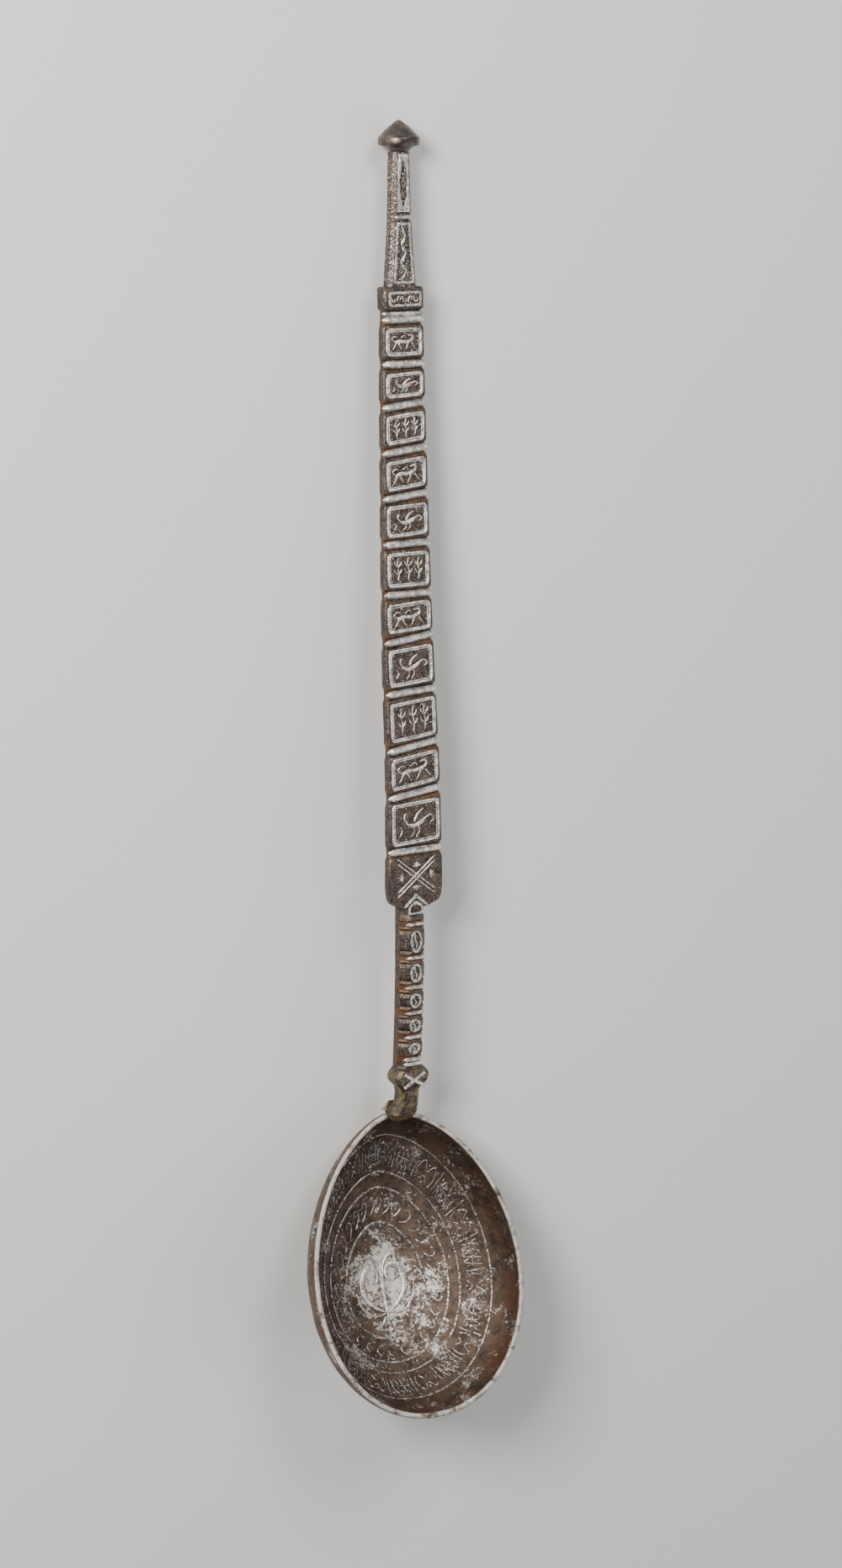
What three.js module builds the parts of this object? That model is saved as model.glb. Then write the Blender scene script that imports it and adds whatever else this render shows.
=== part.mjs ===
import * as THREE from 'three';

// Iron ladle inlaid with silver, in millimetres, +Z up. It lies on its bowl and finial, front face up.
// Handle space: X across the handle, Y along it from the bowl's rim to the finial, Z out of its front.

// Clearances
const INLAY_SEAT = 0.12; // under every silver piece
const JOIN_GAP = 0.2; // between forged pieces that nest or butt
const BOWL_WIRE_SEAT = 0.2; // under the silver wires that follow the bowl's curve

// Bowl
const BOWL_LENGTH = 97.5;
const BOWL_WIDTH = 74.3;
const BOWL_DEPTH = 29.9;
const BOWL_WALL = 1.8;
const BOWL_TILT = THREE.MathUtils.degToRad(18.2); // rim plane against the handle, tip towards the front
const BOWL_SET_BACK = 4.7; // the rim at the neck lies this far behind the handle's middle
const BOWL_SIDE_SHIFT = -1.5; // the bowl sits a little to the left of the handle
const NECK_FULLNESS = 0.59; // exponents of the egg outline at its two ends
const TIP_FULLNESS = 0.476;
const BOTTOM_PLACE = 0.6; // deepest point, as a share of the bowl's length from the neck
const BOWL_FLAT = 0.6; // depth worn off the underside, so that the ladle lies still
const LIP_CHAMFER = 0.4;
const BOWL_STEPS_ROUND = 48;
const BOWL_STEPS_DEEP = 12;

// Silver wires let into the bowl: each a reach from the middle (0) to the rim (1)
const BOWL_WIRE_WIDTH = 1.0;
const BOWL_WIRE_THICKNESS = 0.35;
const BOWL_WIRES = [
  { name: 'bowl_medallion_ring', reach: 0.4 },
  { name: 'bowl_scroll_ring', reach: 0.6 },
  { name: 'bowl_band_lower_line', reach: 0.69 },
  { name: 'bowl_band_upper_line', reach: 0.9 },
];

// Neck and knuckle
const NECK_LENGTH = 8.5;
const NECK_WIDTH = 6.4;
const NECK_THICKNESS = 6.0;
const NECK_FOOT_WIDTH = 8.8; // where it spreads over the rim
const TONGUE_REACH = 2.6; // past the rim's outer edge, into the bowl
const TONGUE_WIDTH = 5.2;
const KNUCKLE_LENGTH = 8.7;
const KNUCKLE_WIDTH = 11.8;
const KNUCKLE_FRONT = 4.1; // heights of front faces above the handle's middle
const KNUCKLE_BACK = 3.3;
const BRAZE_WIDTH = 6.6;
const BRAZE_LEG = 4.6;

// Narrow shaft
const SHAFT_WIDTH = 8.6;
const SHAFT_FRONT = 3.0;
const SHAFT_BACK = 3.0;
const SHAFT_CHAMFER = 2.1;
const SHAFT_EDGE = 0.5; // small chamfer along the back
const SHAFT_PITCHES = [7.4, 8.0, 8.4, 9.7, 10.9]; // ridge to first bar, then bar to bar, going up
const SHAFT_BAR_WIDTH = 1.3;
const SHAFT_BAR_HEIGHT = 0.9;
const SHAFT_BAR_OVERHANG = 1.1; // past the front flat on each side
const SHAFT_GROOVE_DEPTH = 0.5;
const THUMB_CUT_DEPTH = 0.8; // scooped out of the chamfers on both sides of each bar
const THUMB_CUT_PLACE = 2.1;
const RIDGE_PITCH = 1.6; // between the two ridges of each pair
const SHAFT_ROOT_LENGTH = 5.4; // from the last bar to the blade

// Blade
const BLADE_FOOT_WIDTH = 19.3;
const BLADE_HEAD_WIDTH = 13.9;
const BLADE_FRONT = 2.0;
const BLADE_BACK = 1.4;
const BLADE_CHAMFER = 0.5;
const BLADE_SWAY = 0.8; // its foot leans this far to the right
const FOOT_PANEL_LENGTH = 17.9;
const FOOT_CORNER_LENGTH = 9.0; // the rounded lower corners
const FOOT_END_WIDTH = 11.0;
const PANEL_PITCHES = [18.0, 14.7, 17.0, 16.3, 13.8, 15.4, 14.4, 13.8, 13.6, 12.3, 13.2]; // going up
const BAR_SKEWS_DEG = [0.2, 7.0, 7.7, 2.8, 6.7, 0, 0.4, 6.0, 6.3, 5.3, 0, 0]; // each bar's slant, going up
const CROSSBAR_WIDTH = 2.0;
const CROSSBAR_HEIGHT = 1.3;
const CROSSBAR_POINT = 1.6; // length of the pointed left end
const GROOVE_DEPTH = 0.9;
const GROOVE_SLOPE = 0.8; // run of the groove's side, from its floor to the panel
const PANEL_WAIST = 0.45; // the blade is this much narrower in each groove, on each side

// Silver frames on the panels
const INLAY_THICKNESS = 0.4;
const FRAME_MARGIN = 0.35; // from the panel's edge
const FRAME_LINE = 1.2;
const FRAME_CORNER = 1.5;

// Collar and upper shaft
const COLLAR_LENGTH = 6.9;
const COLLAR_WIDTH = 13.6;
const COLLAR_FRONT = 2.7;
const COLLAR_BACK = 2.4;
const COLLAR_CHAMFER = 0.7;
const COLLAR_MARGIN = 0.5;
const COLLAR_LINE = 0.8;
const UPPER_LOWER_LENGTH = 20.5; // shoulder to silver band
const UPPER_TOP_LENGTH = 19.3; // silver band to finial
const UPPER_FRONT = 2.2;
const UPPER_BACK = 2.2;
const UPPER_CHAMFER = 1.0;
const SHOULDER_WIDTH = 9.6;
const BAND_PLACE_WIDTH = 6.8; // shaft's width at the silver band
const UPPER_END_WIDTH = 5.6; // shaft's width under the finial
const UPPER_BAND_WIDTH = 1.5;
const UPPER_BAND_HEIGHT = 0.8;
const UPPER_GROOVE_DEPTH = 0.4;
const UPPER_LINE = 0.8;
const UPPER_MARGIN = 0.2;

// Finial cap, a turned cone with an upright band, on the shaft's tenon
const FINIAL_HEIGHT = 9.0;
const FINIAL_RADIUS = 6.2;
const FINIAL_SEAT_RADIUS = 3.2;
const FINIAL_FLARE_HEIGHT = 1.9;
const FINIAL_BAND_HEIGHT = 2.2;
const FINIAL_STEPS_ROUND = 32;
const TENON_WIDTH = 3.2;
const TENON_LENGTH = 2.8;

// Medallions on the narrow shaft
const MEDALLION_WIDTH = 4.0;
const MEDALLION_LINE = 0.7;
const MEDALLION_MARGIN = 0.5; // to the bars' edges
const MEDALLION_STEPS = 20;

// Saltires, chevron and arch
const SALTIRE_LINE = 1.7;
const SALTIRE_MARGIN = 1.2;
const KNUCKLE_LINE = 1.1;
const KNUCKLE_SALTIRE_MARGIN = 1.5;
const CHEVRON_RISE = 4.2;
const CHEVRON_HALF_WIDTH = 4.5;
const CHEVRON_LINE = 1.1;
const ARCH_HALF_WIDTH = 2.6;
const ARCH_LINE = 0.7;
const CORNER_STEPS = 3;

// The hand-forged handle bows forward, most where it leaves the narrow shaft
const BOW_HEIGHT = 4.4;
const BOW_PEAK = 0.25; // share of the handle's length

// Stations along the handle
const KNUCKLE_START = NECK_LENGTH;
const KNUCKLE_END = KNUCKLE_START + KNUCKLE_LENGTH;
const KNUCKLE_MIDDLE = KNUCKLE_START + KNUCKLE_LENGTH / 2;
const LOWER_RIDGES = [KNUCKLE_END + RIDGE_PITCH / 2, KNUCKLE_END + (3 * RIDGE_PITCH) / 2];
const SHAFT_BARS = climb(LOWER_RIDGES[1], SHAFT_PITCHES).slice(1);
const SHAFT_END = SHAFT_BARS.at(-1) + SHAFT_ROOT_LENGTH;
const CROSSBARS = climb(SHAFT_END + FOOT_PANEL_LENGTH, PANEL_PITCHES);
const BLADE_END = CROSSBARS.at(-1);
const UPPER_RIDGE = BLADE_END + (CROSSBAR_WIDTH + RIDGE_PITCH + JOIN_GAP) / 2;
const COLLAR_START = UPPER_RIDGE + RIDGE_PITCH / 2;
const SHOULDER = COLLAR_START + COLLAR_LENGTH;
const BAND_PLACE = SHOULDER + UPPER_LOWER_LENGTH;
const UPPER_END = BAND_PLACE + UPPER_TOP_LENGTH;
const HANDLE_LENGTH = UPPER_END + FINIAL_HEIGHT;

const IRON = { color: 0x4a423c, roughness: 0.6, metalness: 0.8 };
const WORN_IRON = { color: 0x5a4a41, roughness: 0.55, metalness: 0.75 };
const SILVER = { color: 0xc9c4ba, roughness: 0.35, metalness: 1.0 };
const BRAZE = { color: 0x9a8550, roughness: 0.5, metalness: 0.9 };

function climb(start, steps) {
  const places = [start];
  for (const step of steps) {
    places.push(places.at(-1) + step);
  }
  return places;
}

// Height of the handle's middle line at a place along it
function bow(place) {
  const share = THREE.MathUtils.clamp(place / HANDLE_LENGTH, 0, 1);
  const fall = 1 / BOW_PEAK - 1;
  const peak = BOW_PEAK * (1 - BOW_PEAK) ** fall;
  return (BOW_HEIGHT * share * (1 - share) ** fall) / peak;
}

function bowSlope(place) {
  const step = 0.5;
  return Math.atan((bow(place + step) - bow(place - step)) / (2 * step));
}

// Sideways lean of the blade, full at its foot and gone half way up
function sway(place) {
  const half = (SHAFT_END + BLADE_END) / 2;
  const inBlade = THREE.MathUtils.smoothstep(place, SHAFT_END - 1, SHAFT_END + 1);
  return BLADE_SWAY * inBlade * (1 - THREE.MathUtils.smoothstep(place, CROSSBARS[1], half));
}

function bladeWidth(place) {
  const share = (place - SHAFT_END) / (BLADE_END - SHAFT_END);
  return THREE.MathUtils.lerp(BLADE_FOOT_WIDTH, BLADE_HEAD_WIDTH, share);
}

// A closed solid through a list of rings with equal counts of points, ended by a point at each side
function skin(rings, firstPoint, lastPoint) {
  const count = rings[0].length;
  const points = [firstPoint, ...rings.flat(), lastPoint];
  const last = points.length - 1;
  const faces = [];
  for (let side = 0; side < count; side++) {
    const next = (side + 1) % count;
    faces.push(0, 1 + next, 1 + side);
    faces.push(last, last - count + side, last - count + next);
    for (let ring = 0; ring < rings.length - 1; ring++) {
      const low = 1 + ring * count;
      const high = low + count;
      faces.push(low + side, low + next, high + next, low + side, high + next, high + side);
    }
  }
  return solid(points, faces);
}

// A closed ring-shaped solid through four loops of points
function hoop(loops) {
  const count = loops[0].length;
  const faces = [];
  for (let loop = 0; loop < loops.length; loop++) {
    const here = loop * count;
    const there = ((loop + 1) % loops.length) * count;
    for (let side = 0; side < count; side++) {
      const next = (side + 1) % count;
      faces.push(here + side, here + next, there + next, here + side, there + next, there + side);
    }
  }
  return solid(loops.flat(), faces);
}

// Points and faces as a geometry whose faces point out
function solid(points, faces) {
  let volume = 0;
  for (let i = 0; i < faces.length; i += 3) {
    const [a, b, c] = [points[faces[i]], points[faces[i + 1]], points[faces[i + 2]]];
    volume += a.dot(new THREE.Vector3().crossVectors(b, c));
  }
  const geometry = new THREE.BufferGeometry().setFromPoints(points);
  geometry.setIndex(volume < 0 ? faces.slice().reverse() : faces);
  geometry.computeVertexNormals();
  return geometry;
}

function middle(points) {
  const sum = new THREE.Vector3();
  for (const point of points) {
    sum.add(point);
  }
  return sum.divideScalar(points.length);
}

// The bowl's outline and surface

function eggHalfWidth(share) {
  const widest = NECK_FULLNESS / (NECK_FULLNESS + TIP_FULLNESS);
  const shape = (s) => s ** NECK_FULLNESS * (1 - s) ** TIP_FULLNESS;
  return ((BOWL_WIDTH / 2) * shape(share)) / shape(widest);
}

// A point on the bowl: turn counts steps round from the neck, reach runs from the middle (0) to the
// rim (1), wall is how far the surface lies inside the outer one, and drop is below the rim plane
function bowlPoint(turn, reach, wall, drop) {
  const angle = (2 * Math.PI * turn) / BOWL_STEPS_ROUND;
  const share = THREE.MathUtils.clamp((1 - Math.cos(angle)) / 2, 0, 1);
  const rim = new THREE.Vector2(Math.sign(Math.sin(angle)) * eggHalfWidth(share), share * BOWL_LENGTH);
  const centre = new THREE.Vector2(0, BOTTOM_PLACE * BOWL_LENGTH);
  const spoke = rim.sub(centre);
  spoke.multiplyScalar((reach * (spoke.length() - wall)) / spoke.length());
  const along = centre.y + spoke.y;
  return new THREE.Vector3(
    BOWL_SIDE_SHIFT + spoke.x,
    -along * Math.cos(BOWL_TILT) - drop * Math.sin(BOWL_TILT),
    -BOWL_SET_BACK + along * Math.sin(BOWL_TILT) - drop * Math.cos(BOWL_TILT),
  );
}

function bowlDrop(reach, wall) {
  return (BOWL_DEPTH - wall) * Math.sqrt(Math.max(0, 1 - reach * reach));
}

function bowlRing(reach, wall, drop) {
  const ring = [];
  for (let turn = 0; turn < BOWL_STEPS_ROUND; turn++) {
    ring.push(bowlPoint(turn, reach, wall, drop));
  }
  return ring;
}

function bowlGeometry() {
  const outside = [];
  const inside = [];
  for (let step = 1; step < BOWL_STEPS_DEEP; step++) {
    const reach = Math.sin((step / BOWL_STEPS_DEEP) * (Math.PI / 2));
    outside.push(bowlRing(reach, 0, bowlDrop(reach, 0)));
    inside.unshift(bowlRing(reach, BOWL_WALL, bowlDrop(reach, BOWL_WALL)));
  }
  const lip = [
    bowlRing(1, 0, LIP_CHAMFER),
    bowlRing(1, LIP_CHAMFER, 0),
    bowlRing(1, BOWL_WALL - LIP_CHAMFER, 0),
    bowlRing(1, BOWL_WALL, LIP_CHAMFER),
  ];
  const rings = [...outside, ...lip, ...inside];
  return skin(rings, bowlPoint(0, 0, 0, BOWL_DEPTH), bowlPoint(0, 0, BOWL_WALL, BOWL_DEPTH - BOWL_WALL));
}

// A silver wire laid round the inside of the bowl
function bowlWireGeometry(reach) {
  const meanReach = (BOWL_WIDTH + BOWL_LENGTH) / 4;
  const half = BOWL_WIRE_WIDTH / 2 / (meanReach * Math.max(bowlSlopeCos(reach), 0.5));
  const low = BOWL_WALL + BOWL_WIRE_SEAT;
  const high = low + BOWL_WIRE_THICKNESS;
  const edge = (side, wall) => bowlRing(side, wall, bowlDrop(side, wall));
  const [near, far] = [reach - half, reach + half];
  return hoop([edge(near, low), edge(near, high), edge(far, high), edge(far, low)]);
}

// How far a wire's width counts across the bowl where its side is steep
function bowlSlopeCos(reach) {
  const slope = ((BOWL_DEPTH / (BOWL_WIDTH / 2)) * reach) / Math.sqrt(1 - reach * reach);
  return Math.sqrt(1 + slope * slope);
}

// One ring of the forged bar: a flat front with chamfers, upright sides, and a flat back with small ones
function barRing({ at, width, front, back, chamfer, edge = SHAFT_EDGE, shift = 0, skew = 0 }) {
  const half = width / 2;
  const flat = half - chamfer;
  const outline = [
    [-half + edge, -back],
    [-half, -back + edge],
    [-half, front - chamfer],
    [-flat, front],
    [-flat / 2, front],
    [flat / 2, front],
    [flat, front],
    [half, front - chamfer],
    [half, -back + edge],
    [half - edge, -back],
  ];
  const slant = Math.tan(skew);
  return outline.map(([x, z]) => new THREE.Vector3(x + shift, at + x * slant, z + bow(at)));
}

function rimHeight(at) {
  return -BOWL_SET_BACK - at * Math.tan(BOWL_TILT);
}

// The neck spreads over the rim and ends in a short tongue inside the bowl
function neckRings() {
  const bar = { chamfer: 1.2 };
  const over = (at) => -(rimHeight(at) + JOIN_GAP / Math.cos(BOWL_TILT)) + bow(at);
  const half = NECK_THICKNESS / 2;
  const foot = NECK_FOOT_WIDTH;
  const lean = BOWL_SIDE_SHIFT * 0.7;
  return [
    { at: -TONGUE_REACH, width: TONGUE_WIDTH, front: -1.4, back: over(-TONGUE_REACH), chamfer: 0.5, shift: lean },
    { at: -TONGUE_REACH / 2, width: foot * 0.86, front: half * 0.35, back: over(-TONGUE_REACH / 2), shift: lean },
    { at: BOWL_WALL / 3, width: foot, front: half * 0.75, back: over(0), shift: lean },
    { at: NECK_LENGTH * 0.35, width: (foot + NECK_WIDTH) / 2, front: half * 0.93, back: half, shift: lean / 2 },
    { at: NECK_LENGTH * 0.6, width: NECK_WIDTH, front: half, back: half },
    { at: KNUCKLE_START, width: NECK_WIDTH, front: half, back: half },
  ].map((ring) => barRing({ ...bar, ...ring }));
}

// The knuckle swells to a lobe on each side
function knuckleRings() {
  const spread = [0.12, 0.45, 0.85, 1, 1, 0.85, 0.5];
  const rings = [];
  for (let step = 0; step < spread.length; step++) {
    const share = spread[step];
    rings.push(barRing({
      at: KNUCKLE_START + (KNUCKLE_LENGTH * (step + 1)) / (spread.length + 1),
      width: THREE.MathUtils.lerp(NECK_WIDTH, KNUCKLE_WIDTH, share),
      front: THREE.MathUtils.lerp(SHAFT_FRONT, KNUCKLE_FRONT, Math.min(1, share * 1.6)),
      back: THREE.MathUtils.lerp(SHAFT_BACK, KNUCKLE_BACK, share),
      chamfer: 1.2,
    }));
  }
  return rings;
}

// A seat for a bar across the front: two rings at the floor and one at each side
function grooveRings(ring, places, halfFloor, slope, depth, waist) {
  const skew = ring.skew ?? 0;
  const low = { ...ring, front: ring.front - depth, width: ring.width - 2 * waist, skew };
  return [
    { ...ring, at: places[0] - halfFloor - slope },
    { ...low, at: places[0] - halfFloor },
    { ...low, at: places.at(-1) + halfFloor },
    { ...ring, at: places.at(-1) + halfFloor + slope },
  ];
}

function shaftRings() {
  const plain = {
    width: SHAFT_WIDTH, front: SHAFT_FRONT, back: SHAFT_BACK, chamfer: SHAFT_CHAMFER,
  };
  const scooped = { ...plain, chamfer: SHAFT_CHAMFER + THUMB_CUT_DEPTH };
  const halfFloor = SHAFT_BAR_WIDTH / 2 + JOIN_GAP;
  const groove = (places) => grooveRings(plain, places, halfFloor, SHAFT_GROOVE_DEPTH, SHAFT_GROOVE_DEPTH, 0);
  const rings = groove(LOWER_RIDGES);
  for (const place of SHAFT_BARS) {
    rings.push(
      { ...plain, at: place - THUMB_CUT_PLACE - 1 },
      { ...scooped, at: place - THUMB_CUT_PLACE },
      ...groove([place]),
      { ...scooped, at: place + THUMB_CUT_PLACE },
      { ...plain, at: place + THUMB_CUT_PLACE + 1 },
    );
  }
  rings.pop();
  rings.push({ ...plain, front: BLADE_FRONT, at: SHAFT_BARS.at(-1) + THUMB_CUT_PLACE + 0.8 });
  rings.push({ ...plain, front: BLADE_FRONT, at: SHAFT_END - 0.5 });
  return rings.map(barRing);
}

function bladeRing(at, more = {}) {
  return {
    at,
    width: bladeWidth(at),
    front: BLADE_FRONT,
    back: BLADE_BACK,
    chamfer: BLADE_CHAMFER,
    shift: sway(at),
    ...more,
  };
}

// The blade's lower end is rounded down to the narrow shaft
function footRings() {
  const rings = [];
  const steps = 5;
  for (let step = 0; step <= steps; step++) {
    const share = 1 - (1 - step / steps) ** 1.5;
    const at = SHAFT_END + FOOT_CORNER_LENGTH * (step / steps) ** 1.2;
    const round = Math.sqrt(1 - (1 - share) ** 2);
    rings.push(bladeRing(at, { width: THREE.MathUtils.lerp(FOOT_END_WIDTH, bladeWidth(at), round) }));
  }
  return rings.map(barRing);
}

function barSkew(index) {
  return THREE.MathUtils.degToRad(BAR_SKEWS_DEG[index]);
}

const GROOVE_FLOOR = CROSSBAR_WIDTH / 2 + JOIN_GAP;

// The grooves narrow the blade a little, so that each panel stands out as a cushion
function panelRings() {
  const rings = [];
  for (let index = 0; index < CROSSBARS.length; index++) {
    const isLast = index === CROSSBARS.length - 1;
    const places = isLast ? [CROSSBARS[index], UPPER_RIDGE] : [CROSSBARS[index]];
    const ring = { ...bladeRing(CROSSBARS[index]), skew: barSkew(index) };
    const groove = grooveRings(ring, places, GROOVE_FLOOR, GROOVE_SLOPE, GROOVE_DEPTH, PANEL_WAIST);
    const shoulder = GROOVE_FLOOR + 2 * GROOVE_SLOPE;
    groove[0].width -= PANEL_WAIST;
    groove[3].width -= PANEL_WAIST;
    rings.push({ ...ring, ...pick(CROSSBARS[index] - shoulder), skew: barSkew(index) }, ...groove);
    if (!isLast) {
      rings.push({ ...ring, ...pick(CROSSBARS[index] + shoulder), skew: barSkew(index) });
    }
  }
  rings.pop();
  return rings.map(barRing);
}

function pick(at) {
  return { at, width: bladeWidth(at), shift: sway(at) };
}

function collarRings() {
  const ring = {
    width: COLLAR_WIDTH, front: COLLAR_FRONT, back: COLLAR_BACK, chamfer: COLLAR_CHAMFER,
  };
  const inset = COLLAR_CHAMFER;
  const narrow = { ...ring, width: COLLAR_WIDTH - inset, front: COLLAR_FRONT - inset / 2 };
  return [
    { ...narrow, at: COLLAR_START + JOIN_GAP },
    { ...ring, at: COLLAR_START + inset },
    { ...ring, at: SHOULDER - inset },
    { ...narrow, at: SHOULDER },
  ].map(barRing);
}

function upperWidth(place) {
  if (place < BAND_PLACE) {
    const share = (BAND_PLACE - place) / UPPER_LOWER_LENGTH;
    return THREE.MathUtils.lerp(BAND_PLACE_WIDTH, SHOULDER_WIDTH, share ** 1.3);
  }
  return THREE.MathUtils.lerp(BAND_PLACE_WIDTH, UPPER_END_WIDTH, (place - BAND_PLACE) / UPPER_TOP_LENGTH);
}

function upperRing(at, more = {}) {
  return { at, width: upperWidth(at), front: UPPER_FRONT, back: UPPER_BACK, chamfer: UPPER_CHAMFER, ...more };
}

function upperRings() {
  const rings = [];
  const steps = 5;
  const halfFloor = UPPER_BAND_WIDTH / 2 + JOIN_GAP;
  const runs = [
    [SHOULDER + JOIN_GAP, BAND_PLACE - halfFloor - 1],
    [BAND_PLACE + halfFloor + 1, UPPER_END - JOIN_GAP],
  ];
  for (const [low, high] of runs) {
    for (let step = 0; step <= steps; step++) {
      rings.push(upperRing(THREE.MathUtils.lerp(low, high, step / steps)));
    }
  }
  const depth = UPPER_GROOVE_DEPTH;
  const groove = grooveRings(upperRing(BAND_PLACE), [BAND_PLACE], halfFloor, depth, depth, 0);
  rings.splice(steps + 1, 0, ...groove);
  return rings.map(barRing);
}

// The tenon that the finial cap sits on
function tenonRings() {
  const half = TENON_WIDTH / 2;
  const ring = { width: TENON_WIDTH, front: half, back: half, chamfer: half * 0.6, edge: half * 0.6 };
  return [
    { ...ring, at: UPPER_END - JOIN_GAP / 2 },
    { ...ring, at: UPPER_END + TENON_LENGTH },
  ].map(barRing);
}

// The whole handle is one forging
function handleGeometry() {
  const rings = [
    ...neckRings(),
    ...knuckleRings(),
    ...shaftRings(),
    ...footRings(),
    ...panelRings(),
    ...collarRings(),
    ...upperRings(),
    ...tenonRings(),
  ];
  return skin(rings, middle(rings[0]), middle(rings.at(-1)));
}

function finialGeometry() {
  const socket = TENON_WIDTH / 2 + 2 * JOIN_GAP;
  const bandTop = FINIAL_FLARE_HEIGHT + FINIAL_BAND_HEIGHT;
  const coneHeight = FINIAL_HEIGHT - bandTop;
  const profile = [
    [0, TENON_LENGTH + JOIN_GAP],
    [socket, TENON_LENGTH + JOIN_GAP],
    [socket, 0],
    [FINIAL_SEAT_RADIUS, 0],
    [FINIAL_SEAT_RADIUS + (FINIAL_RADIUS - FINIAL_SEAT_RADIUS) * 0.3, FINIAL_FLARE_HEIGHT * 0.55],
    [FINIAL_RADIUS * 0.96, FINIAL_FLARE_HEIGHT * 0.8],
    [FINIAL_RADIUS, FINIAL_FLARE_HEIGHT * 1.15],
    [FINIAL_RADIUS, bandTop - 0.3],
    [FINIAL_RADIUS * 0.93, bandTop + 0.2],
    [FINIAL_RADIUS * 0.5, bandTop + coneHeight * 0.58],
    [FINIAL_RADIUS * 0.15, FINIAL_HEIGHT - 0.35],
    [0, FINIAL_HEIGHT],
  ].map(([radius, height]) => new THREE.Vector2(radius, height));
  return new THREE.LatheGeometry(profile, FINIAL_STEPS_ROUND, Math.PI / FINIAL_STEPS_ROUND);
}

// The braze fills the corner between the back of the neck and the bowl's outer wall
function brazeGeometry() {
  const gap = JOIN_GAP;
  const back = -NECK_THICKNESS / 2 - 1.6;
  const wall = (depth) => -depth * Math.sin(BOWL_TILT) + gap;
  const corner = new THREE.Vector2(wall(0) + gap, back + rimHeight(0) * 0 - gap);
  const shape = new THREE.Shape();
  shape.moveTo(corner.x, corner.y);
  shape.lineTo(corner.x + BRAZE_LEG * 0.8, corner.y + 0.9);
  shape.quadraticCurveTo(corner.x + 0.9, corner.y - 0.9, wall(BRAZE_LEG) + 0.5, corner.y - BRAZE_LEG);
  shape.lineTo(corner.x, corner.y);
  const geometry = new THREE.ExtrudeGeometry(shape, {
    depth: BRAZE_WIDTH, bevelEnabled: false, curveSegments: 5,
  });
  geometry.translate(0, 0, -BRAZE_WIDTH / 2);
  geometry.rotateY(Math.PI / 2);
  geometry.rotateX(Math.PI / 2);
  geometry.translate(BOWL_SIDE_SHIFT * 0.7, 0, 0);
  return geometry;
}

// A bar that lies along X on a flat floor, crowned, with its left end drawn out to a point
function crownedBar(length, width, height, point) {
  const profile = [[-0.5, 0], [-0.46, 0.5], [-0.2, 1], [0.2, 1], [0.46, 0.5], [0.5, 0]];
  const ends = [
    [-length / 2, 0.15],
    [-length / 2 + point, 1],
    [length / 2 - width / 4, 1],
    [length / 2, 0.6],
  ];
  const rings = ends.map(([x, size]) =>
    profile.map(([y, z]) => new THREE.Vector3(x, y * width * size, z * height * size)));
  return skin(rings, middle(rings[0]), middle(rings.at(-1)));
}

// An outline through corners, each rounded by the same radius
function roundedOutline(corners, radius, outline) {
  const count = corners.length;
  for (let index = 0; index < count; index++) {
    const corner = corners[index];
    const before = corners[(index + count - 1) % count].clone().sub(corner).setLength(radius);
    const after = corners[(index + 1) % count].clone().sub(corner).setLength(radius);
    const start = corner.clone().add(before);
    if (index === 0) {
      outline.moveTo(start.x, start.y);
    } else {
      outline.lineTo(start.x, start.y);
    }
    const end = corner.clone().add(after);
    outline.quadraticCurveTo(corner.x, corner.y, end.x, end.y);
  }
  outline.closePath();
  return outline;
}

function plate(shape, thickness = INLAY_THICKNESS) {
  return new THREE.ExtrudeGeometry(shape, {
    depth: thickness, bevelEnabled: false, curveSegments: CORNER_STEPS,
  });
}

// A flat frame between a four-cornered outline and the same outline drawn in by the line's width
function frameGeometry(corners, line, radius) {
  const centre = new THREE.Vector2();
  for (const corner of corners) {
    centre.addScaledVector(corner, 1 / corners.length);
  }
  const inner = corners.map((corner) => new THREE.Vector2(
    corner.x - Math.sign(corner.x - centre.x) * line,
    corner.y - Math.sign(corner.y - centre.y) * line,
  ));
  const shape = roundedOutline(corners, radius, new THREE.Shape());
  shape.holes.push(roundedOutline(inner.reverse(), radius * 0.6, new THREE.Path()));
  return plate(shape);
}

// The frame on the panel between two crossbars, its ends parallel to them
function panelFrameGeometry(index, centre) {
  const edge = GROOVE_FLOOR + GROOVE_SLOPE + FRAME_MARGIN;
  const corner = (place, skew, side, inward) => {
    const x = side * (bladeWidth(place) / 2 - BLADE_CHAMFER - FRAME_MARGIN);
    return new THREE.Vector2(x, place + inward * edge + x * Math.tan(skew) - centre);
  };
  const [low, high] = [CROSSBARS[index], CROSSBARS[index + 1]];
  return frameGeometry([
    corner(low, barSkew(index), -1, 1),
    corner(low, barSkew(index), 1, 1),
    corner(high, barSkew(index + 1), 1, -1),
    corner(high, barSkew(index + 1), -1, -1),
  ], FRAME_LINE, FRAME_CORNER);
}

// Two flat bands that cross, as one piece: corners are given for the upper and lower right ends
function saltireGeometry(upper, lower, line) {
  const slopeUp = upper.clone().normalize();
  const slopeDown = lower.clone().normalize();
  const sideUp = new THREE.Vector2(-slopeUp.y, slopeUp.x).multiplyScalar(line / 2);
  const sideDown = new THREE.Vector2(slopeDown.y, -slopeDown.x).multiplyScalar(line / 2);
  const notchX = line / 2 / Math.sin((slopeUp.angle() - slopeDown.angle() + 2 * Math.PI) / 2 % Math.PI);
  const notchY = line / 2 / Math.cos((slopeUp.angle() - slopeDown.angle() + 2 * Math.PI) / 2 % Math.PI);
  const right = [
    new THREE.Vector2(0, notchY),
    upper.clone().add(sideUp),
    upper.clone().sub(sideUp),
    new THREE.Vector2(notchX, 0),
    lower.clone().sub(sideDown),
    lower.clone().add(sideDown),
    new THREE.Vector2(0, -notchY),
  ];
  const left = right.slice(1, -1).reverse().map((point) => new THREE.Vector2(-point.x, point.y));
  return plate(new THREE.Shape([...right, ...left]));
}

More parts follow.
